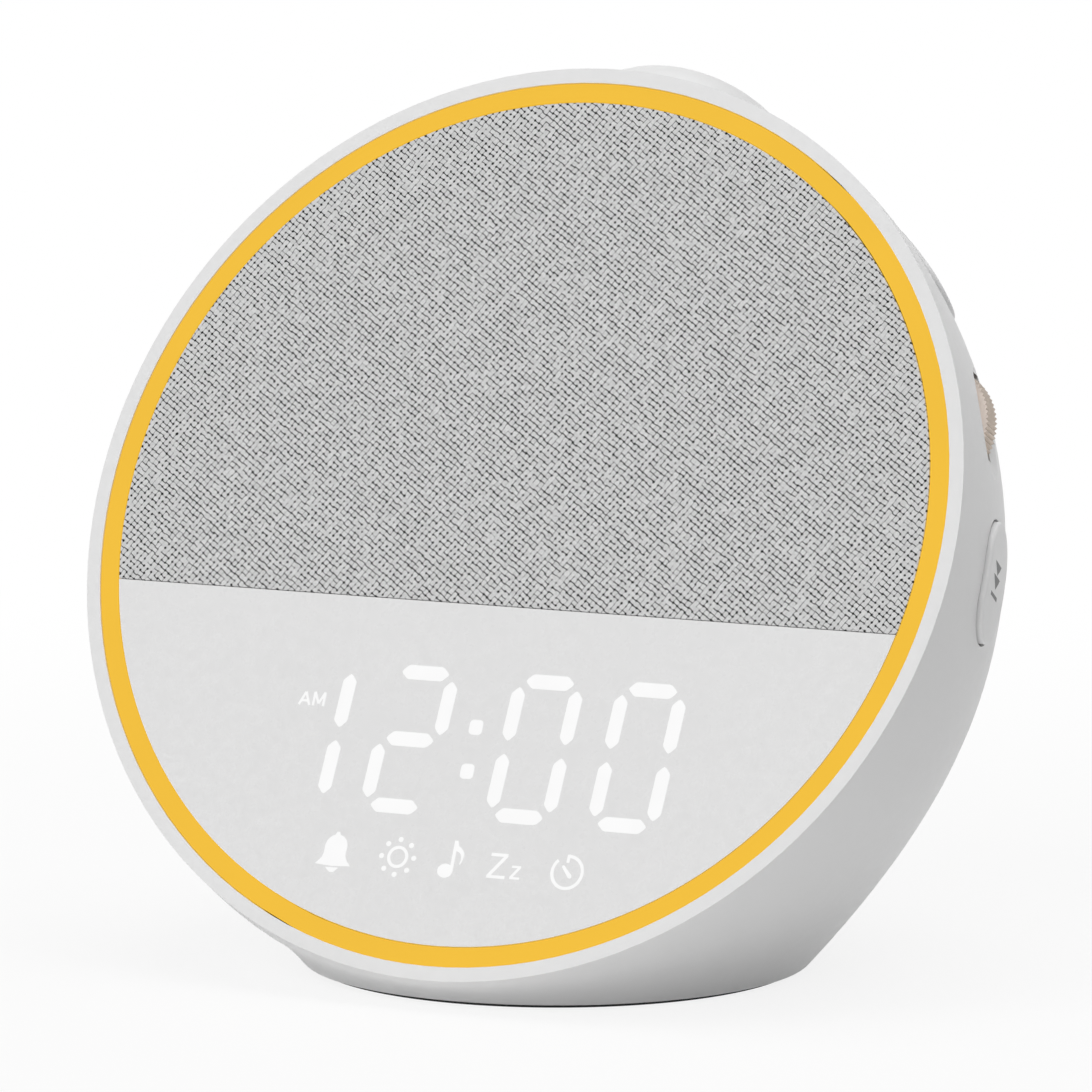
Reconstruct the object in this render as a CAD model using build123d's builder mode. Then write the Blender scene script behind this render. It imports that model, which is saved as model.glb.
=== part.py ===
"""Sunrise alarm clock: a bowl-shaped housing with a round leaning face.

The face carries a fabric-covered speaker above a digit display, with a light
ring around both. Millimetres, +Z up, front towards -Y, origin at the middle
of the foot on the ground.
"""
import os
from math import cos
from math import radians
from math import sin

from build123d import *

os.makedirs("parts", exist_ok=True)

# ---------------------------------------------------------------- face and body
face_lean = 25.0
face_height = 58.22
face_forward = 11.67
rim_radius = 60.0
body_bottom = 0.5
wall = 2.4
floor_top = 2.9

# The body is a family of circles whose planes all pass through one hinge line,
# where the plane of the face meets the plane of the base.
section_turns = (-13.0, 0.0, 13.0, 26.0, 39.0, 52.0, 65.0)
section_radii = (58.85, 60.0, 58.79, 55.08, 48.6, 40.45, 32.2)
section_fronts = (3.4, 3.74, 3.45, 3.62, 4.24, 5.26, 6.34)

# ---------------------------------------------------------------- front stack
opening_radius = 58.13
opening_depth = 6.0
ring_outer = 58.0
ring_inner = 55.6
ring_flange_inner = 54.2
panel_radius = 55.45
split_height = -11.47
split_gap = 0.06
fabric_thickness = 0.4
fabric_front = -0.1
panel_front = -0.55
panel_back = -2.0
window_front = -0.12
carrier_front = -2.05
carrier_step = -2.8
carrier_back = -4.4
carrier_inner = 52.0
carrier_outer = 54.0
lug_radius = 51.0
lug_turns = (66.0, 114.0, 168.0, 213.0, 327.0)
led_board_front = -4.5
led_board_back = -5.7
led_count = 24

# ---------------------------------------------------------------- digits
digit_right_columns = (-18.65, -4.47, 12.9, 27.05)
digit_width = 7.93
digit_top = -20.87
digit_middle = -29.55
digit_bottom = -38.23
digit_slant = 2.2
segment_width = 1.88
segment_gap = 0.75
colon_x = 0.33
colon_heights = (-27.31, -33.02)
half_day_mark = (-23.2, -25.2)
icon_height = -44.6
icon_columns = (-15.66, -6.84, 0.6, 8.1, 16.63)
reflector_radius = 51.5
reflector_top = -14.4
reflector_back = -8.5
display_board_back = -9.8

# ---------------------------------------------------------------- speaker
speaker_height = 20.0
speaker_flange = 29.0

# ---------------------------------------------------------------- top button
snooze_turn = 12.33
snooze_reach = 121.4
snooze_normal = 25.03
snooze_radius = 16.5
snooze_rise = 8.69
snooze_wall = 1.6
snooze_gap = 0.35
pocket_floor = -4.2
pocket_floor_under = -5.4

# ---------------------------------------------------------------- side keys
key_turns = {"previous_key": 46.0, "next_key": 0.6}
key_distances = {"previous_key": 57.5, "next_key": 58.2}
key_depths = {"previous_key": 18.6, "next_key": 16.6}
key_pitches = {"previous_key": 15.0, "next_key": 11.0}
key_length = 15.4
key_width = 10.4
key_raise = 0.75
key_gap = 0.32
key_back = -4.6

# ---------------------------------------------------------------- thumb wheel
wheel_turn = 21.96
wheel_distance = 51.3
wheel_radius = 8.4
wheel_front = -12.1
wheel_back = -15.1
wheel_teeth = 80
tooth_depth = 0.42
shaft_radius = 1.5
running_gap = 0.05

# ---------------------------------------------------------------- base and inlet
foot_radius = 31.6
foot_bottom_radius = 30.8
foot_inner = 22.0
base_plate_radius = 30.0
base_opening = 26.0
base_screw_radius = 28.0
inlet_turn = 51.79
inlet_reach = 86.35
inlet_normal = 91.4

# ---------------------------------------------------------------- boards
main_board_front = -23.2
main_board_back = -24.8
main_board_posts = ((-28.0, -13.5), (28.0, -13.5), (-28.0, -40.5), (28.0, -40.5))
encoder_post_offsets = ((-10.0, -6.8), (-10.0, 6.8))
encoder_board_front = -19.45
encoder_board_back = -20.6
post_radius = 2.6
pilot_radius = 0.95
pilot_depth = 8.0
post_reach = 60.0
small_post_radius = 1.9
rib_front = -9.0
rib_length = 10.0
rib_width = 1.2

# ---------------------------------------------------------------- small sizes
grille_pitch = 5.2
grille_hole = 2.1
grille_field = 24.5
speaker_opening = 25.0
speaker_screw_radius = 27.6
surround_lip = -4.65
coil_outer = 7.9
cap_centre = -21.83
cap_radius = 14.43
cap_edge_turn = 51.4
pole_radius = 7.15
pocket_wall = 1.05
snooze_stem_hole = 3.1
snooze_stem_end = -5.6
snooze_leg_x = 11.5
snooze_hook_top = -5.75
snooze_stem_radius = 2.2
snooze_skirt = -3.0
snooze_board_top = -10.0
snooze_post_points = ((-7.0, 0.0), (7.0, 0.0))
key_board_top = -9.2
key_edge = 0.45
wheel_gap = 0.35
encoder_front = -16.0
scoop_turn = 20.4
scoop_bottom = 57.4
scoop_reach = 40.0
scoop_curve = 9.5
scoop_depth = -15.0
base_ledge = 1.9
foot_edge = 0.7
base_boss_radius = 2.8
base_boss_top = 8.0
weight_radius = 24.4
weight_thickness = 3.0
display_screw_points = ((-38.0, -21.0), (38.0, -21.0), (-33.0, -35.0), (33.0, -35.0))
cell_centre = (-11.0, -27.0)
cell_radius = 10.0
inlet_board_front = 1.7
inlet_board_back = 2.9
inlet_rail_x = 7.7

lean_sin = sin(radians(face_lean))
lean_cos = cos(radians(face_lean))
across = Vector(1, 0, 0)
face_up = Vector(0, lean_sin, lean_cos)
face_out = Vector(0, -lean_cos, lean_sin)
face_centre = Vector(0, -face_forward, face_height)
hinge_drop = (face_height - body_bottom) / lean_cos
hinge = face_centre - face_up * hinge_drop


# ================================================================ helpers
def face_plane(depth=0.0):
    """Plane parallel to the face, at a height along the face's normal."""
    return Plane(origin=face_centre + face_out * depth, x_dir=across, z_dir=face_out)


def face_point(x, y, depth):
    return face_centre + across * x + face_up * y + face_out * depth


def turned_direction(turn):
    """Face-up direction turned backwards about the hinge line."""
    return face_up * cos(radians(turn)) - face_out * sin(radians(turn))


def ring_point(radius, turn):
    return (radius * cos(radians(turn)), radius * sin(radians(turn)))


def axis_profile_plane(x, y):
    """Plane through an axis along the face's normal: x is radial, y is out."""
    return Plane(origin=face_point(x, y, 0), x_dir=across, z_dir=face_up * -1)


def axis_at(x, y):
    return Axis(face_point(x, y, 0), face_out)


snooze_axis_out = turned_direction(snooze_normal)
snooze_origin = hinge + turned_direction(snooze_turn) * snooze_reach


def snooze_plane(height=0.0):
    origin = snooze_origin + snooze_axis_out * height
    return Plane(origin=origin, x_dir=across, z_dir=snooze_axis_out)


def snooze_profile_plane():
    side = across.cross(snooze_axis_out)
    return Plane(origin=snooze_origin, x_dir=across, z_dir=side)


def key_plane(key, height=0.0):
    """Plane on the side of the body: x runs along the face's edge, z is out."""
    turn = radians(key_turns[key])
    radial = across * cos(turn) + face_up * sin(turn)
    along = face_up * cos(turn) - across * sin(turn)
    pitch = radians(key_pitches[key])
    out = radial * cos(pitch) - face_out * sin(pitch)
    origin = face_centre + radial * key_distances[key] - face_out * key_depths[key]
    return Plane(origin=origin + out * height, x_dir=along, z_dir=out)


inlet_out = turned_direction(inlet_normal)


def inlet_plane(height=0.0):
    origin = hinge + turned_direction(inlet_turn) * inlet_reach
    return Plane(origin=origin + inlet_out * height, x_dir=across, z_dir=inlet_out)


def body_form(growth):
    """Loft through the hinged circles, from just ahead of the face to the base."""
    with BuildPart() as form:
        for turn, radius, front in zip(section_turns, section_radii, section_fronts):
            reach = turned_direction(turn)
            centre = hinge + reach * (front + radius)
            with BuildSketch(Plane(origin=centre, x_dir=reach, z_dir=across.cross(reach))):
                Circle(radius + growth)
        loft()
    return form.part


def panel_sketch(radius, upper):
    """Circular segment of the face, above or below the split."""
    Circle(radius)
    edge = split_height + split_gap if upper else split_height - split_gap
    with Locations((0, edge - 100) if upper else (0, edge + 100)):
        Rectangle(300, 200, mode=Mode.SUBTRACT)


def segment_outline(length, width):
    """Six-sided bar with pointed ends, along x, centred."""
    half = length / 2
    tip = width / 2
    with BuildSketch() as bar:
        with BuildLine():
            Polyline(
                (-half, 0),
                (-half + tip, tip),
                (half - tip, tip),
                (half, 0),
                (half - tip, -tip),
                (-half + tip, -tip),
                close=True,
            )
        make_face()
    return bar.sketch


def digit_segments():
    """Centre, turn and length of each segment of the four digits."""
    segments = []
    slant = sin(radians(digit_slant))
    upright = digit_top - digit_middle - segment_gap * 2
    level = digit_width - segment_gap * 2
    for right in digit_right_columns:
        left = right - digit_width
        middle = (left + right) / 2
        for height in (digit_top, digit_middle, digit_bottom):
            shift = slant * (height - digit_middle)
            segments.append((middle + shift, height, 0.0, level))
        for column in (left, right):
            for height in ((digit_top + digit_middle) / 2, (digit_middle + digit_bottom) / 2):
                shift = slant * (height - digit_middle)
                segments.append((column + shift, height, 90.0 - digit_slant, upright))
    return segments


def lit_areas(inset):
    """All lit areas of the display, each drawn smaller by the inset."""
    with BuildSketch() as areas:
        for x, y, turn, length in digit_segments():
            with Locations(Location((x, y, 0), (0, 0, turn))):
                add(segment_outline(length - inset * 2, segment_width - inset * 2))
        for height in colon_heights:
            with Locations((colon_x, height)):
                Circle(0.95 - inset)
        with Locations(half_day_mark):
            Rectangle(4.4 - inset * 2, 2.4 - inset * 2)
        for column in icon_columns:
            with Locations((column, icon_height)):
                RegularPolygon(2.3 - inset, 8)
    return areas.sketch


def lit_points():
    points = []
    for x, y, turn, length in digit_segments():
        points.append((x, y))
    for height in colon_heights:
        points.append((colon_x, height))
    points.append(half_day_mark)
    for column in icon_columns:
        points.append((column, icon_height))
    return points


def screw_set(planes, head_radius, head_height, shank_radius, length):
    """Pan-head screws: the head sits on each plane, the shank goes below it."""
    with BuildPart() as screws:
        for plane in planes:
            with BuildSketch(plane):
                Circle(head_radius)
            extrude(amount=head_height)
            with BuildSketch(plane):
                Circle(shank_radius)
            extrude(amount=-length)
    return screws.part


def name_and_save(part, name):
    part.label = name
    export_step(part, "parts/" + name + ".step")


def key_side(key):
    """Which way along the face's edge the key's board runs, away from the wheel."""
    return 1 if key == "previous_key" else -1


def key_post_points(key):
    side = key_side(key)
    return ((side * 11.2, 0), (side * -2, -8.6))


def inlet_screw_plane(side, level):
    seat = inlet_plane(-wall - 9)
    origin = seat.origin + seat.x_dir * (side * inlet_rail_x) + seat.y_dir * level
    return Plane(origin=origin, x_dir=across, z_dir=seat.y_dir * -1)


with BuildPart() as outer:
    add(body_form(0.0))
    split(bisect_by=face_plane(), keep=Keep.BOTTOM)
    fillet(outer.edges().group_by(Axis.Z)[0], foot_edge)
outer_form = outer.part
key_form = body_form(key_raise)
cavity_form = body_form(-wall)
post_form = body_form(-wall / 2)
lug_points = [ring_point(lug_radius, turn) for turn in lug_turns]
wheel_x, wheel_y = ring_point(wheel_distance, wheel_turn)
wheel_sin = sin(radians(wheel_turn))
wheel_cos = cos(radians(wheel_turn))
encoder_points = []
for inward, along in encoder_post_offsets:
    reach = wheel_distance + inward
    encoder_points.append((reach * wheel_cos - along * wheel_sin, reach * wheel_sin + along * wheel_cos))


# ================================================================ housing
def make_housing():
    with BuildPart() as cavity:
        add(cavity_form)
        split(bisect_by=Plane.XY.offset(floor_top), keep=Keep.TOP)

    # posts, ribs and bosses, all trimmed to end inside the wall
    with BuildPart() as posts:
        with BuildSketch(face_plane(led_board_back - 0.05)):
            with Locations(*lug_points):
                Circle(post_radius)
        extrude(amount=-post_reach)
        with BuildSketch(face_plane(rib_front)):
            for turn in lug_turns:
                x, y = ring_point(lug_radius + rib_length / 2, turn)
                with Locations(Location((x, y, 0), (0, 0, turn))):
                    Rectangle(rib_length, rib_width)
        extrude(amount=-post_reach)
        with BuildSketch(face_plane(main_board_back - 0.05)):
            with Locations(*main_board_posts):
                Circle(post_radius)
        extrude(amount=-post_reach)
        with BuildSketch(face_plane(encoder_board_back - 0.05)):
            with Locations(*encoder_points):
                Circle(post_radius)
        extrude(amount=-post_reach)
        for key in key_turns:
            with BuildSketch(key_plane(key, key_board_top + 0.05)):
                with Locations(*key_post_points(key)):
                    Circle(small_post_radius)
            extrude(amount=post_reach / 4)
        with BuildSketch(snooze_plane(pocket_floor_under)):
            Circle(snooze_radius + snooze_gap + pocket_wall)
        extrude(amount=post_reach / 4)
        with BuildSketch(Plane.XY.offset(floor_top - 1)):
            with PolarLocations(base_screw_radius, 4, 45):
                Circle(base_boss_radius)
        extrude(amount=base_boss_top - floor_top + 1)
        with BuildSketch(inlet_plane(-wall - 12.6)):
            for side in (-1, 1):
                with Locations((side * inlet_rail_x, inlet_board_back + 1.2)):
                    Rectangle(3.2, 2.3)
        extrude(amount=post_reach / 3)
        add(post_form, mode=Mode.INTERSECT)

    with BuildPart() as housing_shell:
        add(outer_form)
        add(cavity.part, mode=Mode.SUBTRACT)
        add(posts.part)

        # rebate and opening of the base
        with BuildSketch(Plane.XY):
            Circle(base_plate_radius + 0.2)
        extrude(amount=base_ledge, mode=Mode.SUBTRACT)
        with BuildSketch(Plane.XY):
            Circle(base_opening)
        extrude(amount=floor_top * 2, mode=Mode.SUBTRACT)

        # round opening for the front parts
        with BuildSketch(face_plane()):
            Circle(opening_radius)
        extrude(amount=-opening_depth, mode=Mode.SUBTRACT)

        # sunk seat of the top button, with its stem hole and leg slots
        with BuildSketch(snooze_plane(pocket_floor)):
            Circle(snooze_radius + snooze_gap)
        extrude(amount=post_reach / 3, mode=Mode.SUBTRACT)
        with BuildSketch(snooze_plane(pocket_floor)):
            Circle(snooze_stem_hole)
            with Locations((-snooze_leg_x, 0), (snooze_leg_x, 0)):
                Rectangle(2.4, 5.2)
        extrude(amount=pocket_floor_under - pocket_floor, mode=Mode.SUBTRACT)
        with BuildSketch(snooze_plane(snooze_board_top + 0.05)):
            with Locations(*snooze_post_points):
                Circle(small_post_radius)
        extrude(amount=pocket_floor_under - snooze_board_top)

        # pill-shaped key openings
        for key in key_turns:
            with BuildSketch(key_plane(key, -wall * 2)):
                SlotOverall(key_length + key_gap * 2, key_width + key_gap * 2)
            extrude(amount=wall * 4, mode=Mode.SUBTRACT)

        # slot of the thumb wheel and the finger scoop around it
        with BuildSketch(face_plane(wheel_front + wheel_gap)):
            with Locations((wheel_x, wheel_y)):
                Circle(wheel_radius + wheel_gap)
        extrude(amount=wheel_back - wheel_front - wheel_gap * 2, mode=Mode.SUBTRACT)
        scoop_x, scoop_y = ring_point(scoop_bottom + scoop_reach, scoop_turn)
        scoop_out = across * cos(radians(scoop_turn)) + face_up * sin(radians(scoop_turn))
        scoop_side = scoop_out.cross(face_out)
        scoop_origin = face_point(scoop_x, scoop_y, scoop_depth)
        with BuildSketch(Plane(origin=scoop_origin, x_dir=scoop_out, z_dir=scoop_side)):
            with Locations((-scoop_reach + scoop_curve, 0)):
                Circle(scoop_curve)
        revolve(axis=Axis(scoop_origin, face_out), mode=Mode.SUBTRACT)

        # power inlet at the back
        with BuildSketch(inlet_plane(-wall * 2)):
            SlotOverall(9.6, 3.9)
        extrude(amount=wall * 3, mode=Mode.SUBTRACT)
        with BuildSketch(inlet_plane(-0.9)):
            SlotOverall(12.6, 6.8)
        extrude(amount=wall * 2, mode=Mode.SUBTRACT)

        # pilot holes
        with BuildSketch(face_plane(led_board_back)):
            with Locations(*lug_points):
                Circle(pilot_radius)
        extrude(amount=-pilot_depth, mode=Mode.SUBTRACT)
        with BuildSketch(face_plane(main_board_back)):
            with Locations(*main_board_posts):
                Circle(pilot_radius)
        extrude(amount=-pilot_depth, mode=Mode.SUBTRACT)
        with BuildSketch(face_plane(encoder_board_back)):
            with Locations(*encoder_points):
                Circle(pilot_radius)
        extrude(amount=-pilot_depth, mode=Mode.SUBTRACT)
        for key in key_turns:
            with BuildSketch(key_plane(key, key_board_top)):
                with Locations(*key_post_points(key)):
                    Circle(pilot_radius)
            extrude(amount=4.2, mode=Mode.SUBTRACT)
        with BuildSketch(snooze_plane(snooze_board_top)):
            with Locations(*snooze_post_points):
                Circle(pilot_radius)
        extrude(amount=3.6, mode=Mode.SUBTRACT)
        with BuildSketch(Plane.XY.offset(base_ledge - 0.1)):
            with PolarLocations(base_screw_radius, 4, 45):
                Circle(pilot_radius)
        extrude(amount=5.6, mode=Mode.SUBTRACT)
        for side in (-1, 1):
            with BuildSketch(inlet_screw_plane(side, inlet_board_back)):
                Circle(pilot_radius)
            extrude(amount=-1.9, mode=Mode.SUBTRACT)
    name_and_save(housing_shell.part, "housing_shell")


def make_base():
    with BuildPart() as base_plate:
        with BuildSketch(Plane.XY.offset(body_bottom)):
            Circle(base_plate_radius)
        extrude(amount=base_ledge - body_bottom - 0.05)
        with BuildSketch(Plane.XY.offset(base_ledge - 0.05)):
            Circle(weight_radius + 1.2)
            Circle(weight_radius + 0.2, mode=Mode.SUBTRACT)
        extrude(amount=1.5)
        with BuildSketch(Plane.XY.offset(body_bottom)):
            with PolarLocations(base_screw_radius, 4, 45):
                Circle(1.15)
        extrude(amount=3, mode=Mode.SUBTRACT)
        with BuildSketch(Plane.XY.offset(body_bottom)):
            with PolarLocations(base_screw_radius, 4, 45):
                Circle(1.9)
        extrude(amount=0.75, mode=Mode.SUBTRACT)
        with BuildSketch(Plane.XY.offset(body_bottom)):
            Circle(foot_inner - 2)
        extrude(amount=0.4, mode=Mode.SUBTRACT)
    name_and_save(base_plate.part, "base_plate")

    with BuildPart() as foot_ring:
        with BuildSketch(Plane.XZ):
            with BuildLine():
                Polyline(
                    (foot_inner, 0),
                    (foot_bottom_radius, 0),
                    (foot_radius, body_bottom - 0.02),
                    (foot_inner, body_bottom - 0.02),
                    close=True,
                )
            make_face()
        revolve(axis=Axis.Z)
    name_and_save(foot_ring.part, "foot_ring")

    with BuildPart() as base_weight:
        with BuildSketch(Plane.XY.offset(base_ledge)):
            Circle(weight_radius)
        extrude(amount=weight_thickness)
        chamfer(base_weight.edges().group_by(Axis.Z)[-1], 0.5)
    name_and_save(base_weight.part, "base_weight")

    planes = []
    for turn in (45, 135, 225, 315):
        x, y = ring_point(base_screw_radius, turn)
        planes.append(Plane(origin=(x, y, body_bottom + 0.73), z_dir=(0, 0, -1)))
    name_and_save(screw_set(planes, 1.75, 0.68, 0.9, 5.4), "base_screws")


# ================================================================ front stack
def make_light_ring():
    with BuildPart() as light_ring:
        with BuildSketch(face_plane(window_front)):
            Circle(ring_outer)
            Circle(ring_inner, mode=Mode.SUBTRACT)
        extrude(amount=-3.45)
        with BuildSketch(face_plane(-2.9)):
            Circle(ring_outer)
            Circle(ring_flange_inner, mode=Mode.SUBTRACT)
        extrude(amount=-0.67)
    name_and_save(light_ring.part, "light_ring")

    with BuildPart() as led_ring_board:
        with BuildSketch(face_plane(led_board_front)):
            Circle(57.9)
            Circle(53.0, mode=Mode.SUBTRACT)
            with Locations(*lug_points):
                Circle(3.2)
            with Locations(*lug_points):
                Circle(1.15, mode=Mode.SUBTRACT)
        extrude(amount=led_board_back - led_board_front)
    name_and_save(led_ring_board.part, "led_ring_board")

    with BuildPart() as ring_leds:
        with BuildSketch(face_plane(led_board_front)):
            with PolarLocations(56.3, led_count):
                Rectangle(1.4, 2.8)
        extrude(amount=0.75)
    name_and_save(ring_leds.part, "ring_leds")


def make_carrier():
    lower_lugs = [ring_point(lug_radius, turn) for turn in lug_turns if turn > 180]
    with BuildPart() as front_carrier:
        with BuildSketch(face_plane(carrier_front)):
            Circle(carrier_outer)
            with Locations((0, speaker_height)):
                Circle(speaker_opening, mode=Mode.SUBTRACT)
            with BuildSketch(mode=Mode.SUBTRACT):
                Circle(carrier_inner)
                with Locations((0, reflector_top + 0.2 + 50)):
                    Rectangle(200, 100, mode=Mode.SUBTRACT)
            with Locations(*lower_lugs):
                Circle(3.2)
            with Locations((-40, 10), (40, 10), (-38, 24), (38, 24)):
                Circle(4.5, mode=Mode.SUBTRACT)
        extrude(amount=carrier_back - carrier_front)
        with BuildSketch(face_plane(carrier_front)):
            Circle(panel_radius)
            Circle(carrier_outer - 0.5, mode=Mode.SUBTRACT)
        extrude(amount=carrier_step - carrier_front)
        with BuildSketch(face_plane(carrier_front)):
            with Locations(*lug_points):
                Circle(2.1)
        extrude(amount=-1.3, mode=Mode.SUBTRACT)
        with BuildSketch(face_plane(carrier_front)):
            with Locations(*lug_points):
                Circle(1.15)
        extrude(amount=-4, mode=Mode.SUBTRACT)
        with BuildSketch(face_plane(carrier_back)):
            with Locations((0, speaker_height)):
                with PolarLocations(speaker_screw_radius, 4, 45):
                    Circle(0.85)
        extrude(amount=1.8, mode=Mode.SUBTRACT)
    name_and_save(front_carrier.part, "front_carrier")

    planes = []
    for x, y in lug_points:
        origin = face_point(x, y, carrier_front - 1.28)
        planes.append(Plane(origin=origin, x_dir=across, z_dir=face_out))
    name_and_save(screw_set(planes, 1.95, 1.1, 0.9, 8.5), "carrier_screws")


def make_front_panels():
    holes = []
    row = 0
    height = speaker_height - 24.0
    while height < speaker_height + 24.5:
        shift = grille_pitch / 2 if row % 2 else 0.0
        for step in range(-6, 7):
            x = step * grille_pitch + shift
            if x * x + (height - speaker_height) ** 2 < grille_field**2:
                holes.append((x, height))
        height += grille_pitch * 0.866
        row += 1
    with BuildPart() as speaker_grille:
        with BuildSketch(face_plane(panel_front)):
            panel_sketch(panel_radius - 0.05, True)
            with Locations(*holes):
                RegularPolygon(grille_hole, 6, mode=Mode.SUBTRACT)
        extrude(amount=panel_back - panel_front)
    name_and_save(speaker_grille.part, "speaker_grille")

    with BuildPart() as fabric_cover:
        with BuildSketch(face_plane(fabric_front)):
            panel_sketch(panel_radius, True)
        extrude(amount=-fabric_thickness)
    name_and_save(fabric_cover.part, "fabric_cover")

    with BuildPart() as display_window:
        with BuildSketch(face_plane(window_front)):
            panel_sketch(panel_radius, False)
        extrude(amount=panel_back - window_front)
    name_and_save(display_window.part, "display_window")


# ================================================================ display
def lower_segment(radius, top):
    Circle(radius)
    with Locations((0, top + 100)):
        Rectangle(300, 200, mode=Mode.SUBTRACT)
    with Locations(*[ring_point(lug_radius, turn) for turn in lug_turns]):
        Circle(4.3, mode=Mode.SUBTRACT)


def make_display():
    with BuildPart() as digit_reflector:
        with BuildSketch(face_plane(carrier_front - 0.05)):
            lower_segment(reflector_radius, reflector_top)
            add(lit_areas(0.0), mode=Mode.SUBTRACT)
        extrude(amount=reflector_back - carrier_front + 0.05)
        with BuildSketch(face_plane(reflector_back)):
            with Locations(*display_screw_points):
                Circle(0.85)
        extrude(amount=3.4, mode=Mode.SUBTRACT)
    name_and_save(digit_reflector.part, "digit_reflector")

    with BuildPart() as digit_light_pipes:
        with BuildSketch(face_plane(carrier_front - 0.1)):
            add(lit_areas(0.12))
        extrude(amount=-5.5)
    name_and_save(digit_light_pipes.part, "digit_light_pipes")

    with BuildPart() as display_board:
        with BuildSketch(face_plane(reflector_back - 0.05)):
            lower_segment(reflector_radius - 0.3, reflector_top - 0.4)
            with Locations(*display_screw_points):
                Circle(1.05, mode=Mode.SUBTRACT)
        extrude(amount=display_board_back - reflector_back + 0.05)
    name_and_save(display_board.part, "display_board")

    with BuildPart() as display_leds:
        with BuildSketch(face_plane(reflector_back - 0.05)):
            with Locations(*lit_points()):
                Rectangle(1.1, 1.1)
        extrude(amount=0.6)
    name_and_save(display_leds.part, "display_leds")

    planes = []
    for x, y in display_screw_points:
        origin = face_point(x, y, display_board_back - 0.02)
        planes.append(Plane(origin=origin, x_dir=across, z_dir=face_out * -1))
    name_and_save(screw_set(planes, 1.7, 1.1, 0.8, 4.2), "display_screws")


# ================================================================ speaker
def make_speaker():
    profile = axis_profile_plane(0, speaker_height)
    centre_line = axis_at(0, speaker_height)

    with BuildPart() as speaker_basket:
        with BuildSketch(profile):
            with BuildLine():
                Polyline(
                    (24.0, -4.9),
                    (speaker_flange, -4.9),
                    (speaker_flange, -6.3),
                    (25.5, -6.3),
                    (16.7, -16.4),
                    (16.7, -17.7),
                    (8.3, -17.7),
                    (8.3, -16.6),
                    (13.8, -16.6),
                    (13.8, -14.7),
                    (16.9, -14.7),
                    (24.0, -7.2),
                    close=True,
                )
            make_face()
        revolve(axis=centre_line)
        with BuildSketch(face_plane(-15.5)):
            with Locations((0, speaker_height)):
                with PolarLocations(20.6, 6, 30):
                    Rectangle(5.2, 12)
        extrude(amount=7.8, mode=Mode.SUBTRACT)
        with BuildSketch(face_plane(-4.8)):
            with Locations((0, speaker_height)):
                with PolarLocations(speaker_screw_radius, 4, 45):
                    Circle(1.0)
        extrude(amount=-2, mode=Mode.SUBTRACT)
    name_and_save(speaker_basket.part, "speaker_basket")

    with BuildPart() as speaker_surround:
        with BuildSketch(profile):
            with Locations((22.3, surround_lip)):
                Circle(2.1)
                Circle(1.7, mode=Mode.SUBTRACT)
            with Locations((22.3, surround_lip - 5)):
                Rectangle(10, 10, mode=Mode.SUBTRACT)
            with Locations((25.3, surround_lip)):
                Rectangle(2.2, 0.4)
        revolve(axis=centre_line)
    name_and_save(speaker_surround.part, "speaker_surround")

    with BuildPart() as speaker_cone:
        with BuildSketch(profile):
            with BuildLine():
                outer = Spline((7.95, -11.4), (13.4, -8.3), (19.6, -4.5))
                Line(outer @ 1, (20.0, -5.0))
                inner = Spline((20.0, -5.0), (13.8, -8.8), (8.3, -11.9))
                Line(inner @ 1, outer @ 0)
            make_face()
        revolve(axis=centre_line)
    name_and_save(speaker_cone.part, "speaker_cone")

    with BuildPart() as dust_cap:
        with BuildSketch(profile):
            with BuildLine():
                outer = CenterArc((0, cap_centre), cap_radius, cap_edge_turn, 90 - cap_edge_turn)
                inner = CenterArc((0, cap_centre), cap_radius - 0.5, cap_edge_turn, 90 - cap_edge_turn)
                Line(outer @ 0, inner @ 0)
                Line(outer @ 1, inner @ 1)
            make_face()
        revolve(axis=centre_line)
    name_and_save(dust_cap.part, "dust_cap")

    with BuildPart() as voice_coil:
        with BuildSketch(face_plane(-11.9)):
            with Locations((0, speaker_height)):
                Circle(coil_outer)
                Circle(coil_outer - 0.45, mode=Mode.SUBTRACT)
        extrude(amount=-8.2)
    name_and_save(voice_coil.part, "voice_coil")

    with BuildPart() as speaker_spider:
        with BuildSketch(profile):
            with BuildLine():
                top = Spline(*[(8.4 + step * 1.475, -13.9 if step % 2 else -14.3) for step in range(5)])
                Line(top @ 1, (15.8, -14.3))
                Line((15.8, -14.3), (15.8, -14.65))
                Line((15.8, -14.65), (14.3, -14.65))
                under = Spline(*[(14.3 - step * 1.475, -14.25 if step % 2 else -14.65) for step in range(5)])
                Line(under @ 1, top @ 0)
            make_face()
        revolve(axis=centre_line)
    name_and_save(speaker_spider.part, "speaker_spider")

    with BuildPart() as speaker_yoke:
        with BuildSketch(profile):
            with BuildLine():
                Polyline(
                    (0, -17.9),
                    (pole_radius, -17.9),
                    (pole_radius, -23.9),
                    (14.6, -23.9),
                    (15.2, -24.5),
                    (15.2, -26.0),
                    (0, -26.0),
                    close=True,
                )
            make_face()
        revolve(axis=centre_line)
    name_and_save(speaker_yoke.part, "speaker_yoke")

    with BuildPart() as speaker_magnet:
        with BuildSketch(face_plane(-17.75)):
            with Locations((0, speaker_height)):
                Circle(15.8)
                Circle(8.8, mode=Mode.SUBTRACT)
        extrude(amount=-6.1)
    name_and_save(speaker_magnet.part, "speaker_magnet")

    planes = []
    for turn in (45, 135, 225, 315):
        x, y = ring_point(speaker_screw_radius, turn)
        origin = face_point(x, y + speaker_height, -6.32)
        planes.append(Plane(origin=origin, x_dir=across, z_dir=face_out * -1))
    name_and_save(screw_set(planes, 1.6, 1.1, 0.8, 3.5), "speaker_screws")


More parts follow.
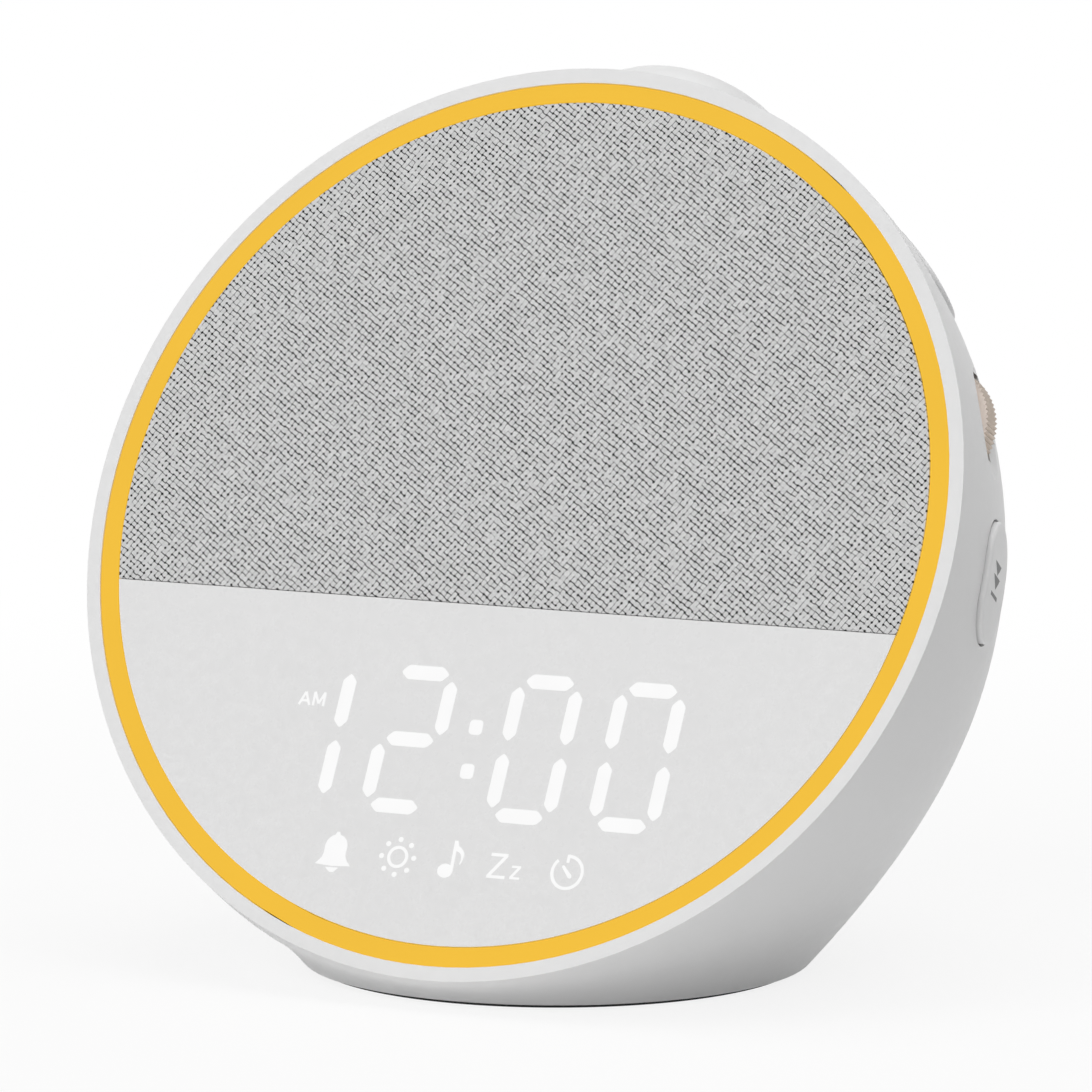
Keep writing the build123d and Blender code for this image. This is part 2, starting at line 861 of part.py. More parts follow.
# ================================================================ top button
def make_snooze():
    centre_line = Axis(snooze_origin, snooze_axis_out)
    inner_radius = snooze_radius - snooze_wall
    with BuildPart() as snooze_button:
        # blunt dome: three points along the curve between its top and its edge
        with BuildSketch(snooze_profile_plane()):
            with BuildLine():
                Spline(
                    (0, snooze_rise),
                    (snooze_radius * 0.527, snooze_rise * 0.9486),
                    (snooze_radius * 0.794, snooze_rise * 0.794),
                    (snooze_radius * 0.9486, snooze_rise * 0.527),
                    (snooze_radius, 0),
                    tangents=((1, 0), (0, -1)),
                )
                Polyline(
                    (snooze_radius, 0),
                    (snooze_radius, snooze_skirt),
                    (inner_radius, snooze_skirt),
                    (inner_radius, 0),
                    (inner_radius - 0.85, 3.9),
                    (inner_radius - 3.0, 5.6),
                    (inner_radius - 6.9, 6.75),
                    (snooze_stem_radius, 7.05),
                    (snooze_stem_radius, snooze_stem_end),
                    (0, snooze_stem_end),
                    (0, snooze_rise),
                )
            make_face()
        revolve(axis=centre_line)
        # snap legs with outward hooks
        with BuildSketch(snooze_plane(snooze_rise - snooze_wall * 1.5)):
            with Locations((-snooze_leg_x, 0), (snooze_leg_x, 0)):
                Rectangle(1.4, 4.4)
        extrude(amount=snooze_hook_top - 1.1 - snooze_rise + snooze_wall * 1.5)
        with BuildSketch(snooze_plane(snooze_hook_top)):
            with Locations((-snooze_leg_x - 0.8, 0), (snooze_leg_x + 0.8, 0)):
                Rectangle(1.4, 4.4)
        extrude(amount=-1.1)
    name_and_save(snooze_button.part, "snooze_button")

    with BuildPart() as snooze_plunger:
        with BuildSketch(snooze_plane(snooze_stem_end - 0.02)):
            Circle(1.6)
        extrude(amount=-3.0)
    name_and_save(snooze_plunger.part, "snooze_plunger")

    with BuildPart() as snooze_switch:
        with BuildSketch(snooze_plane(snooze_board_top)):
            Rectangle(6.2, 6.2)
        extrude(amount=3.3)
        with BuildSketch(snooze_plane(snooze_board_top + 0.35)):
            Circle(1.6 + running_gap)
        extrude(amount=4, mode=Mode.SUBTRACT)
    name_and_save(snooze_switch.part, "snooze_switch")

    with BuildPart() as snooze_board:
        with BuildSketch(snooze_plane(snooze_board_top - 0.02)):
            RectangleRounded(18, 9, 1.5)
            with Locations(*snooze_post_points):
                Circle(1.05, mode=Mode.SUBTRACT)
        extrude(amount=-1.2)
    name_and_save(snooze_board.part, "snooze_board")

    planes = []
    for x, y in snooze_post_points:
        seat = snooze_plane(snooze_board_top - 1.24)
        origin = seat.origin + across * x
        planes.append(Plane(origin=origin, x_dir=across, z_dir=snooze_axis_out * -1))
    name_and_save(screw_set(planes, 1.6, 1.1, 0.85, 4.2), "snooze_board_screws")


# ================================================================ side keys
def make_keys():
    for key in key_turns:
        with BuildPart() as side_key:
            with BuildSketch(key_plane(key, key_back)):
                SlotOverall(key_length, key_width)
            extrude(amount=wall * 4)
            add(key_form, mode=Mode.INTERSECT)
            top = side_key.faces().sort_by(Axis(key_plane(key).origin, key_plane(key).z_dir))[-1]
            fillet(top.edges(), key_edge)
            with BuildSketch(key_plane(key, key_back)):
                SlotOverall(key_length + 2.4, key_width + 2.4)
            extrude(amount=0.8)
            with BuildSketch(key_plane(key, key_back)):
                Circle(1.6)
            extrude(amount=-1.3)
        name_and_save(side_key.part, key)

        plunger = key.replace("_key", "_plunger")
        with BuildPart() as key_plunger:
            with BuildSketch(key_plane(key, key_back - 1.32)):
                Circle(1.2)
            extrude(amount=-2.3)
        name_and_save(key_plunger.part, plunger)

    with BuildPart() as key_switches:
        for key in key_turns:
            with BuildSketch(key_plane(key, key_board_top)):
                Rectangle(5.2, 5.2)
            extrude(amount=2.7)
        for key in key_turns:
            with BuildSketch(key_plane(key, key_board_top + 0.2)):
                Circle(1.2 + running_gap)
            extrude(amount=4, mode=Mode.SUBTRACT)
    name_and_save(key_switches.part, "key_switches")

    with BuildPart() as key_boards:
        for key in key_turns:
            side = key_side(key)
            with BuildSketch(key_plane(key, key_board_top - 0.02)):
                with Locations((side * 4, -3)):
                    RectangleRounded(18, 15, 1.5)
                with Locations(*key_post_points(key)):
                    Circle(1.05, mode=Mode.SUBTRACT)
            extrude(amount=-1.15)
    name_and_save(key_boards.part, "key_boards")

    planes = []
    for key in key_turns:
        seat = key_plane(key, key_board_top - 1.19)
        for x, y in key_post_points(key):
            origin = seat.origin + seat.x_dir * x + seat.y_dir * y
            planes.append(Plane(origin=origin, x_dir=seat.x_dir, z_dir=seat.z_dir * -1))
    name_and_save(screw_set(planes, 1.6, 1.1, 0.85, 4.6), "key_board_screws")


# ================================================================ thumb wheel
def make_wheel():
    with BuildPart() as volume_wheel:
        with BuildSketch(face_plane(wheel_front)):
            with Locations((wheel_x, wheel_y)):
                Circle(wheel_radius)
                with PolarLocations(wheel_radius, wheel_teeth):
                    RegularPolygon(tooth_depth * 1.1, 4, mode=Mode.SUBTRACT)
                Circle(shaft_radius + 0.02, mode=Mode.SUBTRACT)
        extrude(amount=wheel_back - wheel_front)
        with BuildSketch(face_plane(wheel_front)):
            with Locations((wheel_x, wheel_y)):
                Circle(wheel_radius - 2.2)
                Circle(shaft_radius + 1.4, mode=Mode.SUBTRACT)
        extrude(amount=-0.6, mode=Mode.SUBTRACT)
    name_and_save(volume_wheel.part, "volume_wheel")

    with BuildPart() as wheel_shaft:
        with BuildSketch(face_plane(wheel_front - 0.2)):
            with Locations((wheel_x, wheel_y)):
                Circle(shaft_radius)
        extrude(amount=-6.6)
        with BuildSketch(face_plane(wheel_back - 0.02)):
            with Locations((wheel_x, wheel_y)):
                Circle(shaft_radius + 0.8)
        extrude(amount=-0.5)
    name_and_save(wheel_shaft.part, "wheel_shaft")

    with BuildPart() as encoder_body:
        with BuildSketch(face_plane(encoder_front)):
            with Locations(Location((wheel_x, wheel_y, 0), (0, 0, wheel_turn))):
                with Locations((-2.05, 0)):
                    Rectangle(8.9, 9.0)
        extrude(amount=encoder_board_front - encoder_front)
        with BuildSketch(face_plane(encoder_front)):
            with Locations((wheel_x, wheel_y)):
                Circle(shaft_radius + running_gap)
        extrude(amount=-3.3, mode=Mode.SUBTRACT)
    name_and_save(encoder_body.part, "encoder_body")

    with BuildPart() as encoder_board:
        with BuildSketch(face_plane(encoder_board_front - 0.02)):
            with Locations(Location((wheel_x, wheel_y, 0), (0, 0, wheel_turn))):
                with Locations((-6.2, 0)):
                    RectangleRounded(14, 18, 1.5)
            with Locations(*encoder_points):
                Circle(1.05, mode=Mode.SUBTRACT)
        extrude(amount=encoder_board_back - encoder_board_front + 0.02)
    name_and_save(encoder_board.part, "encoder_board")

    planes = []
    for x, y in encoder_points:
        origin = face_point(x, y, encoder_board_front)
        planes.append(Plane(origin=origin, x_dir=across, z_dir=face_out))
    name_and_save(screw_set(planes, 1.7, 1.1, 0.85, 6.5), "encoder_screws")


# ================================================================ main board
def make_main_board():
    with BuildPart() as main_board:
        with BuildSketch(face_plane(main_board_front)):
            with Locations((0, -27)):
                RectangleRounded(64, 34, 3)
            with Locations(*main_board_posts):
                Circle(1.15, mode=Mode.SUBTRACT)
        extrude(amount=main_board_back - main_board_front)
    name_and_save(main_board.part, "main_board")

    with BuildPart() as main_board_parts:
        for x, y, width, depth, height in (
            (9, -22, 9, 9, 1.0),
            (20, -32, 6, 5, 1.4),
            (9, -36, 7, 5, 1.6),
            (20, -21, 5, 5, 3.2),
            (-26.4, -20.5, 6, 5, 5.5),
            (-26.4, -31, 4, 7, 5.5),
            (0, -40.5, 14, 4, 4.2),
        ):
            with BuildSketch(face_plane(main_board_front + 0.02)):
                with Locations((x, y)):
                    Rectangle(width, depth)
            extrude(amount=height)
        with BuildSketch(face_plane(main_board_front + 0.02)):
            with Locations((27, -27), (16, -39.5)):
                Circle(2.5)
        extrude(amount=6.0)
    name_and_save(main_board_parts.part, "main_board_parts")

    with BuildPart() as coin_cell_holder:
        with BuildSketch(face_plane(main_board_front + 0.02)):
            with Locations(cell_centre):
                Circle(cell_radius + 1.4)
        extrude(amount=3.9)
        with BuildSketch(face_plane(main_board_front + 0.6)):
            with Locations(cell_centre):
                Circle(cell_radius + 0.15)
        extrude(amount=5, mode=Mode.SUBTRACT)
        with BuildSketch(face_plane(main_board_front + 0.6)):
            with Locations((cell_centre[0], cell_centre[1] - cell_radius)):
                Rectangle(9, 6)
        extrude(amount=5, mode=Mode.SUBTRACT)
    name_and_save(coin_cell_holder.part, "coin_cell_holder")

    with BuildPart() as coin_cell:
        with BuildSketch(face_plane(main_board_front + 0.62)):
            with Locations(cell_centre):
                Circle(cell_radius)
        extrude(amount=3.2)
        chamfer(coin_cell.edges().sort_by(Axis(face_centre, face_out))[-1], 0.4)
    name_and_save(coin_cell.part, "coin_cell")

    planes = []
    for x, y in main_board_posts:
        origin = face_point(x, y, main_board_front + 0.02)
        planes.append(Plane(origin=origin, x_dir=across, z_dir=face_out))
    name_and_save(screw_set(planes, 1.9, 1.3, 0.9, 6.5), "main_board_screws")


# ================================================================ power inlet
def make_inlet():
    with BuildPart() as inlet_shell:
        with BuildSketch(inlet_plane(-0.9)):
            SlotOverall(8.94, 3.26)
            SlotOverall(8.34, 2.66, mode=Mode.SUBTRACT)
        extrude(amount=-7.4)
        with BuildSketch(inlet_plane(-8.0)):
            SlotOverall(8.94, 3.26)
        extrude(amount=-0.4)
    name_and_save(inlet_shell.part, "inlet_shell")

    with BuildPart() as inlet_tongue:
        with BuildSketch(inlet_plane(-1.7)):
            Rectangle(6.7, 0.7)
        extrude(amount=-6.28)
    name_and_save(inlet_tongue.part, "inlet_tongue")

    with BuildPart() as power_board:
        with BuildSketch(inlet_plane(-wall - 1.4)):
            with Locations((0, (inlet_board_front + inlet_board_back) / 2)):
                Rectangle(19, inlet_board_back - inlet_board_front)
        extrude(amount=-11)
        for side in (-1, 1):
            with BuildSketch(inlet_screw_plane(side, inlet_board_front)):
                Circle(1.05)
            extrude(amount=-3, mode=Mode.SUBTRACT)
    name_and_save(power_board.part, "power_board")

    planes = [inlet_screw_plane(side, inlet_board_front - 0.02) for side in (-1, 1)]
    name_and_save(screw_set(planes, 1.5, 1.0, 0.85, 2.8), "power_board_screws")


make_housing()
make_base()
make_light_ring()
make_carrier()
make_front_panels()
make_display()
make_speaker()
make_snooze()
make_keys()
make_wheel()
make_main_board()
make_inlet()
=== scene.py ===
"""Sunrise alarm clock: cloth, lit digits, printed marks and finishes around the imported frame."""
import math

import bmesh
import bpy
import numpy as np
from mathutils import Matrix, Vector


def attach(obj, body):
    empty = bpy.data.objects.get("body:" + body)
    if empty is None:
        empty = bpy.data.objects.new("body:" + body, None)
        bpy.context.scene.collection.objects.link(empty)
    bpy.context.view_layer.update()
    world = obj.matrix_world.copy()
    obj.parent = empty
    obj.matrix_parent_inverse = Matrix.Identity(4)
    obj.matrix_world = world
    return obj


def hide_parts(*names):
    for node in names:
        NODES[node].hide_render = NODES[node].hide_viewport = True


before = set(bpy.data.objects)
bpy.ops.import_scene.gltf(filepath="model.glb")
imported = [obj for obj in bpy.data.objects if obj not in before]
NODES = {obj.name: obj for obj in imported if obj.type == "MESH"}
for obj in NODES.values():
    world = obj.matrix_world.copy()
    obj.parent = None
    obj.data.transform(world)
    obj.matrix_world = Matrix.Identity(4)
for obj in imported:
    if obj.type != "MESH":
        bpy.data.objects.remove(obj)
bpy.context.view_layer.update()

bl_info = {
    "name": "Sunrise Alarm Clock",
    "version": (1, 0, 0),
    "blender": (4, 5, 0),
    "location": "3D View > Sidebar > Alarm Clock",
    "description": "Dresses the alarm clock's frame with cloth, lit digits, marks and finishes",
    "category": "Object",
}

MM = 0.001

# The face leans back; everything on it is drawn flat and then carried to it.
FACE_LEAN = math.radians(25.0)
FACE_CENTRE = Vector((0.0, -11.67, 58.22)) * MM
FACE_TURN = Matrix.Rotation(math.pi / 2 - FACE_LEAN, 4, "X")
FACE_MATRIX = Matrix.Translation(FACE_CENTRE) @ FACE_TURN
FACE_OUT = (FACE_TURN @ Vector((0, 0, 1, 0))).to_3d()
FACE_UP = (FACE_TURN @ Vector((0, 1, 0, 0))).to_3d()
ACROSS = Vector((1.0, 0.0, 0.0))


# ------------------------------------------------------------------ sizes and colours
class ClothSizes(bpy.types.PropertyGroup):
    radius: bpy.props.FloatProperty(
        name="Radius", description="Outer radius of the speaker cloth", default=0.05545, unit="LENGTH"
    )
    split: bpy.props.FloatProperty(
        name="Split",
        description="Height of the cloth's straight lower edge",
        default=-0.01141,
        unit="LENGTH",
    )
    front: bpy.props.FloatProperty(
        name="Front", description="Depth of the cloth's mean surface", default=-0.00016, unit="LENGTH"
    )
    back: bpy.props.FloatProperty(
        name="Back", description="Depth of the cloth's reverse", default=-0.0005, unit="LENGTH"
    )
    pitch: bpy.props.FloatProperty(
        name="Pitch", description="Distance between two yarns", default=0.000699, precision=6, unit="LENGTH"
    )
    turn: bpy.props.FloatProperty(
        name="Turn",
        description="Turn of the yarns on the face",
        default=math.radians(57.3),
        subtype="ANGLE",
    )
    relief: bpy.props.FloatProperty(
        name="Relief",
        description="Height of a yarn's crown over the gaps",
        default=0.00008,
        precision=6,
        unit="LENGTH",
    )
    yarn: bpy.props.FloatVectorProperty(
        name="Yarn", description="Colour of the yarn", default=(0.71, 0.71, 0.71), subtype="COLOR"
    )
    # painted shade: the colour laid between the yarns, at their ends and in the pits
    gap: bpy.props.FloatVectorProperty(
        name="Hollow shade", description="Colour between the yarns", default=(0.01, 0.01, 0.01), subtype="COLOR"
    )


class DigitSizes(bpy.types.PropertyGroup):
    height: bpy.props.FloatProperty(
        name="Half height", description="From the middle bar to the top bar", default=0.00868, unit="LENGTH"
    )
    width: bpy.props.FloatProperty(
        name="Width", description="Between the left and right bars", default=0.00793, unit="LENGTH"
    )
    middle: bpy.props.FloatProperty(
        name="Middle", description="Height of the middle bars on the face", default=-0.02955, unit="LENGTH"
    )
    slant: bpy.props.FloatProperty(
        name="Slant", description="Sideways lean of the digits", default=0.0384
    )
    bar_width: bpy.props.FloatProperty(
        name="Bar width", description="Width of one lit bar", default=0.00188, unit="LENGTH"
    )
    level_length: bpy.props.FloatProperty(
        name="Level bar", description="Length of a level bar", default=0.00648, unit="LENGTH"
    )
    upright_length: bpy.props.FloatProperty(
        name="Upright bar", description="Length of an upright bar", default=0.00693, unit="LENGTH"
    )
    glow: bpy.props.FloatVectorProperty(
        name="Glow", description="Colour of the lit digits", default=(0.95, 0.95, 0.95), subtype="COLOR"
    )


class FinishColours(bpy.types.PropertyGroup):
    shell: bpy.props.FloatVectorProperty(
        name="Shell", description="Moulded housing", default=(0.81, 0.81, 0.81), subtype="COLOR"
    )
    window: bpy.props.FloatVectorProperty(
        name="Window", description="Display window", default=(0.762, 0.762, 0.762), subtype="COLOR"
    )
    ring: bpy.props.FloatVectorProperty(
        name="Ring", description="Lit ring", default=(0.905, 0.533, 0.040), subtype="COLOR"
    )
    wheel: bpy.props.FloatVectorProperty(
        name="Wheel", description="Volume wheel", default=(0.97, 0.85, 0.765), subtype="COLOR"
    )
    mark: bpy.props.FloatVectorProperty(
        name="Mark", description="Printed marks", default=(0.26, 0.26, 0.26), subtype="COLOR"
    )


class StageSizes(bpy.types.PropertyGroup):
    lens: bpy.props.FloatProperty(
        name="Lens", description="Focal length in millimetres", default=263.95
    )
    distance: bpy.props.FloatProperty(
        name="Distance", description="Camera to the face's centre", default=1.0, unit="LENGTH"
    )
    azimuth: bpy.props.FloatProperty(
        name="Azimuth",
        description="Camera's turn to the clock's right",
        default=math.radians(26.66),
        subtype="ANGLE",
    )
    elevation: bpy.props.FloatProperty(
        name="Elevation",
        description="Camera's height as an angle",
        default=math.radians(7.844),
        subtype="ANGLE",
    )
    floor: bpy.props.FloatVectorProperty(
        name="Floor", description="Floor's colour", default=(0.88, 0.88, 0.88), subtype="COLOR"
    )
    sky: bpy.props.FloatProperty(
        name="Sky", description="Strength of the even light from all sides", default=0.21
    )


# ------------------------------------------------------------------ making meshes
# points nearer than this are one point, and edges within this angle are one line
WELD = 1e-6
STRAIGHT = 0.001


def select_only(*objects):
    bpy.ops.object.select_all(action="DESELECT")
    for made in objects:
        made.select_set(True)
    bpy.context.view_layer.objects.active = objects[0]


def dress(made, material):
    """Gives a piece one material in place of any that it has."""
    made.data.materials.clear()
    made.data.materials.append(material)


def place_on_face(made, name, depth):
    """Carries a piece drawn flat, in face coordinates, to its depth on the leaning face."""
    made.name = name
    made.data.name = name
    made.data.transform(Matrix.Translation((0, 0, depth)))
    made.data.transform(FACE_MATRIX)


def settle(made):
    """Applies the object's own place, so that it sits at the origin."""
    select_only(made)
    bpy.ops.object.transform_apply(location=True, rotation=True, scale=True)


def join(objects):
    select_only(*objects)
    if len(objects) > 1:
        bpy.ops.object.join()
    return bpy.context.view_layer.objects.active


def edit_whole(made):
    """Opens a piece for editing with all of it selected."""
    select_only(made)
    bpy.ops.object.mode_set(mode="EDIT")
    bpy.ops.mesh.select_all(action="SELECT")


def thicken(made, thickness):
    """Turns a flat outline in the XY plane into a plate with its front at z = 0."""
    edit_whole(made)
    bpy.ops.mesh.extrude_region_move(TRANSFORM_OT_translate={"value": (0, 0, -thickness)})
    bpy.ops.mesh.select_all(action="SELECT")
    bpy.ops.mesh.normals_make_consistent(inside=False)
    bpy.ops.object.mode_set(mode="OBJECT")
    return made


def disc_plate(radius, x, y, vertices=32, stretch=(1, 1)):
    bpy.ops.mesh.primitive_circle_add(
        vertices=vertices, radius=radius, fill_type="NGON", location=(x, y, 0)
    )
    made = bpy.context.active_object
    made.scale = (stretch[0], stretch[1], 1)
    settle(made)
    return made


def ring_plate(radius, inner, x, y, vertices=48):
    """Flat ring: a disc inset, its middle taken out."""
    made = disc_plate(radius, x, y, vertices)
    edit_whole(made)
    bpy.ops.mesh.inset(thickness=radius - inner, use_even_offset=True)
    bpy.ops.mesh.delete(type="FACE")
    bpy.ops.object.mode_set(mode="OBJECT")
    return made


def outline_plate(points, curved=()):
    """Flat plate inside a closed curve in millimetres; the numbered points are smooth."""
    bpy.ops.curve.primitive_bezier_circle_add(radius=MM)
    made = bpy.context.active_object
    made.data.dimensions = "2D"
    made.data.fill_mode = "BOTH"
    made.data.resolution_u = 8
    made.data.splines.clear()
    line = made.data.splines.new("BEZIER")
    line.bezier_points.add(len(points) - 1)
    line.use_cyclic_u = True
    for number, (corner, place) in enumerate(zip(line.bezier_points, points)):
        corner.co = (place[0] * MM, place[1] * MM, 0)
        corner.handle_left_type = "AUTO" if number in curved else "VECTOR"
        corner.handle_right_type = "AUTO" if number in curved else "VECTOR"
    select_only(made)
    bpy.ops.object.convert(target="MESH")
    made = bpy.context.active_object
    edit_whole(made)
    bpy.ops.mesh.remove_doubles(threshold=WELD)
    bpy.ops.mesh.dissolve_limited(angle_limit=STRAIGHT)
    bpy.ops.object.mode_set(mode="OBJECT")
    return made


def oblong_plate(length, width):
    bpy.ops.mesh.primitive_plane_add(size=1, location=(0, 0, 0))
    made = bpy.context.active_object
    made.scale = (length, width, 1)
    settle(made)
    return made


def turn_to(made, x, y, turn):
    """Turns a piece drawn at the origin in its own plane and carries it to its place."""
    made.data.transform(Matrix.Translation((x, y, 0)) @ Matrix.Rotation(turn, 4, "Z"))
    return made


def stroke_plate(start, end, width):
    """One straight stroke of a letter, from start to end in millimetres."""
    run = Vector((end[0] - start[0], end[1] - start[1])) * MM
    middle = Vector((start[0] + end[0], start[1] + end[1])) * MM / 2
    made = oblong_plate(run.length, width * MM)
    return turn_to(made, middle.x, middle.y, math.atan2(run.y, run.x))


def cut_ring(made, x, y, start, end):
    """Takes the faces between two turns, in degrees, out of a flat ring."""
    select_only(made)
    bpy.ops.object.mode_set(mode="EDIT")
    bpy.ops.mesh.select_mode(type="FACE")
    shape = bmesh.from_edit_mesh(made.data)
    for face in shape.faces:
        middle = face.calc_center_median()
        turn = math.degrees(math.atan2(middle.y - y, middle.x - x)) % 360
        face.select_set(start < turn < end)
    bmesh.update_edit_mesh(made.data)
    bpy.ops.mesh.delete(type="FACE")
    bpy.ops.object.mode_set(mode="OBJECT")


# ------------------------------------------------------------------ cloth
# heights of the two kinds of crossing and of the pit between crossings, as shares of the relief
HIGH_CROWN = 0.5
LOW_CROWN = 0.38
PIT = -0.5


def woven_grid(sizes):
    """Square grid raised at each crossing and turned to the yarns; also tells what lies off the panel."""
    step = sizes.pitch / 2
    count = int(math.ceil(sizes.radius / sizes.pitch)) * 4 + 4
    bpy.ops.mesh.primitive_grid_add(x_subdivisions=count, y_subdivisions=count, size=count * step)
    made = bpy.context.active_object
    select_only(made)
    place = np.empty(len(made.data.vertices) * 3)
    made.data.vertices.foreach_get("co", place)
    place = place.reshape(-1, 3)
    column = np.rint(place[:, 0] / step).astype(int)
    row = np.rint(place[:, 1] / step).astype(int)
    crown = (column % 2 == 1) & (row % 2 == 1)
    pit = (column % 2 == 0) & (row % 2 == 0)
    along = ((column // 2 + row // 2) % 2) == 0
    place[crown, 2] = np.where(along[crown], HIGH_CROWN, LOW_CROWN) * sizes.relief
    place[pit, 2] = PIT * sizes.relief
    turn = Matrix.Rotation(sizes.turn, 3, "Z")
    place = place @ np.array(turn.transposed())
    made.data.vertices.foreach_set("co", place.ravel())
    outside = (np.hypot(place[:, 0], place[:, 1]) > sizes.radius) | (place[:, 1] < sizes.split)
    return made, outside


def trim_cloth(made, outside):
    """Takes off the faces that lie wholly off the panel."""
    bpy.ops.mesh.select_mode(type="FACE")
    shape = bmesh.from_edit_mesh(made.data)
    shape.verts.ensure_lookup_table()
    for face in shape.faces:
        face.select_set(all(outside[corner.index] for corner in face.verts))
    bmesh.update_edit_mesh(made.data)
    bpy.ops.mesh.delete(type="FACE")


def draw_in_edge(made, sizes, corner_x):
    """Draws the outermost points in to the panel's round edge and its straight lower edge."""
    shape = bmesh.from_edit_mesh(made.data)
    for corner in shape.verts:
        if corner.co.y < sizes.split:
            corner.co.y = sizes.split
            corner.co.x = max(-corner_x, min(corner_x, corner.co.x))
        reach = math.hypot(corner.co.x, corner.co.y)
        if reach > sizes.radius:
            corner.co.x *= sizes.radius / reach
            corner.co.y *= sizes.radius / reach
    bmesh.update_edit_mesh(made.data)
    bpy.ops.mesh.select_all(action="SELECT")
    bpy.ops.mesh.remove_doubles(threshold=WELD)


def close_back(depth):
    """Carries the cloth's border back and closes it, so that the sheet is a solid."""
    bpy.ops.mesh.select_all(action="SELECT")
    bpy.ops.mesh.normals_make_consistent(inside=False)
    bpy.ops.mesh.select_mode(type="EDGE")
    bpy.ops.mesh.select_all(action="DESELECT")
    bpy.ops.mesh.select_non_manifold()
    bpy.ops.mesh.extrude_region_move(TRANSFORM_OT_translate={"value": (0, 0, depth)})
    bpy.ops.mesh.edge_face_add()
    bpy.ops.mesh.select_all(action="SELECT")
    bpy.ops.mesh.normals_make_consistent(inside=False)


def make_cloth(sizes):
    """Speaker cloth, woven as one sheet and trimmed to the panel's outline."""
    corner_x = math.sqrt(sizes.radius**2 - sizes.split**2)
    made, outside = woven_grid(sizes)
    bpy.ops.object.mode_set(mode="EDIT")
    trim_cloth(made, outside)
    draw_in_edge(made, sizes, corner_x)
    close_back(sizes.back - sizes.front)
    bpy.ops.object.mode_set(mode="OBJECT")
    place_on_face(made, "speaker_cloth", sizes.front)
    select_only(made)
    bpy.ops.object.shade_smooth_by_angle(angle=math.radians(60))
    dress(made, cloth_material(sizes))
    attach(made, "clock")
    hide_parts("fabric_cover")


# ------------------------------------------------------------------ lit digits
# the figures from left to right, each with the place of its right-hand bars in millimetres
DIGITS = (("1", -18.65), ("2", -4.47), ("0", 12.90), ("0", 27.05))
LIT_BARS = {
    "1": ("upper right", "lower right"),
    "2": ("top", "upper right", "middle", "lower left", "bottom"),
    "0": ("top", "upper left", "upper right", "lower left", "lower right", "bottom"),
}
# each bar's place across and up, in widths and half heights of the digit, and if it stands upright
BAR_PLACES = {
    "top": (-0.5, 1.0, False),
    "middle": (-0.5, 0.0, False),
    "bottom": (-0.5, -1.0, False),
    "upper left": (-1.0, 0.5, True),
    "upper right": (0.0, 0.5, True),
    "lower left": (-1.0, -0.5, True),
    "lower right": (0.0, -0.5, True),
}
# a bar's blunt ends and rounded corners, in widths of the bar
BAR_TIP_LENGTH = 0.46
BAR_TIP_WIDTH = 0.16
BAR_ROUNDING = 0.13
TOUCHING = 1e-7

COLON_PLACES = ((0.33, -27.31), (0.33, -33.02))
COLON_WIDTH = 1.84 * MM
COLON_HEIGHT = 1.96 * MM
COLON_ROUNDING = 0.55 * MM

GLOW_DEPTH = -0.10 * MM
GLOW_THICKNESS = 0.03 * MM


def bar_plate(x, y, turn, length, width):
    """One lit bar: a square stretched, its ends drawn to blunt points."""
    tip = width * BAR_TIP_LENGTH
    made = oblong_plate(length - tip * 2, width)
    bpy.ops.object.mode_set(mode="EDIT")
    bpy.ops.mesh.select_mode(type="EDGE")
    for side in (-1, 1):
        end = side * (length / 2 - tip)
        shape = bmesh.from_edit_mesh(made.data)
        for edge in shape.edges:
            middle = (edge.verts[0].co + edge.verts[1].co) / 2
            edge.select_set(abs(middle.x - end) < TOUCHING and abs(middle.y) < TOUCHING)
        bmesh.update_edit_mesh(made.data)
        bpy.ops.mesh.extrude_region_move(TRANSFORM_OT_translate={"value": (side * tip, 0, 0)})
        bpy.ops.transform.resize(value=(1, BAR_TIP_WIDTH, 1), center_override=(0, 0, 0))
    bpy.ops.mesh.select_all(action="SELECT")
    bpy.ops.mesh.dissolve_limited(angle_limit=STRAIGHT)
    bpy.ops.mesh.select_all(action="SELECT")
    bpy.ops.mesh.bevel(offset=width * BAR_ROUNDING, segments=3, affect="VERTICES")
    bpy.ops.object.mode_set(mode="OBJECT")
    return turn_to(made, x, y, turn)


def colon_dot(x, y):
    """One dot of the colon: a plane with rounded corners."""
    made = oblong_plate(COLON_WIDTH, COLON_HEIGHT)
    edit_whole(made)
    bpy.ops.mesh.bevel(offset=COLON_ROUNDING, segments=4, affect="VERTICES")
    bpy.ops.object.mode_set(mode="OBJECT")
    return turn_to(made, x, y, 0.0)


def make_digits(sizes):
    """Four slanted digits and the colon between them."""
    plates = []
    for figure, column in DIGITS:
        for bar in LIT_BARS[figure]:
            across, up, upright = BAR_PLACES[bar]
            y = sizes.middle + up * sizes.height
            x = column * MM + across * sizes.width + up * sizes.height * sizes.slant
            turn = math.pi / 2 - math.atan(sizes.slant) if upright else 0.0
            length = sizes.upright_length if upright else sizes.level_length
            plates.append(bar_plate(x, y, turn, length, sizes.bar_width))
    for x, y in COLON_PLACES:
        plates.append(colon_dot(x * MM, y * MM))
    made = thicken(join(plates), GLOW_THICKNESS)
    place_on_face(made, "lit_digits", GLOW_DEPTH)
    dress(made, glow_material(sizes))
    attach(made, "clock")


# ------------------------------------------------------------------ lit icons
# outlines and strokes are in millimetres on the face
HALF_DAY_LETTERS = (
    ((-24.92, -26.15), (-24.17, -24.45), (-23.44, -26.15)),
    ((-24.62, -25.58), (-23.74, -25.58)),
    ((-22.9, -26.17), (-22.9, -24.37), (-22.18, -25.85), (-21.48, -24.37), (-21.48, -26.17)),
)
LETTER_STROKE = 0.31

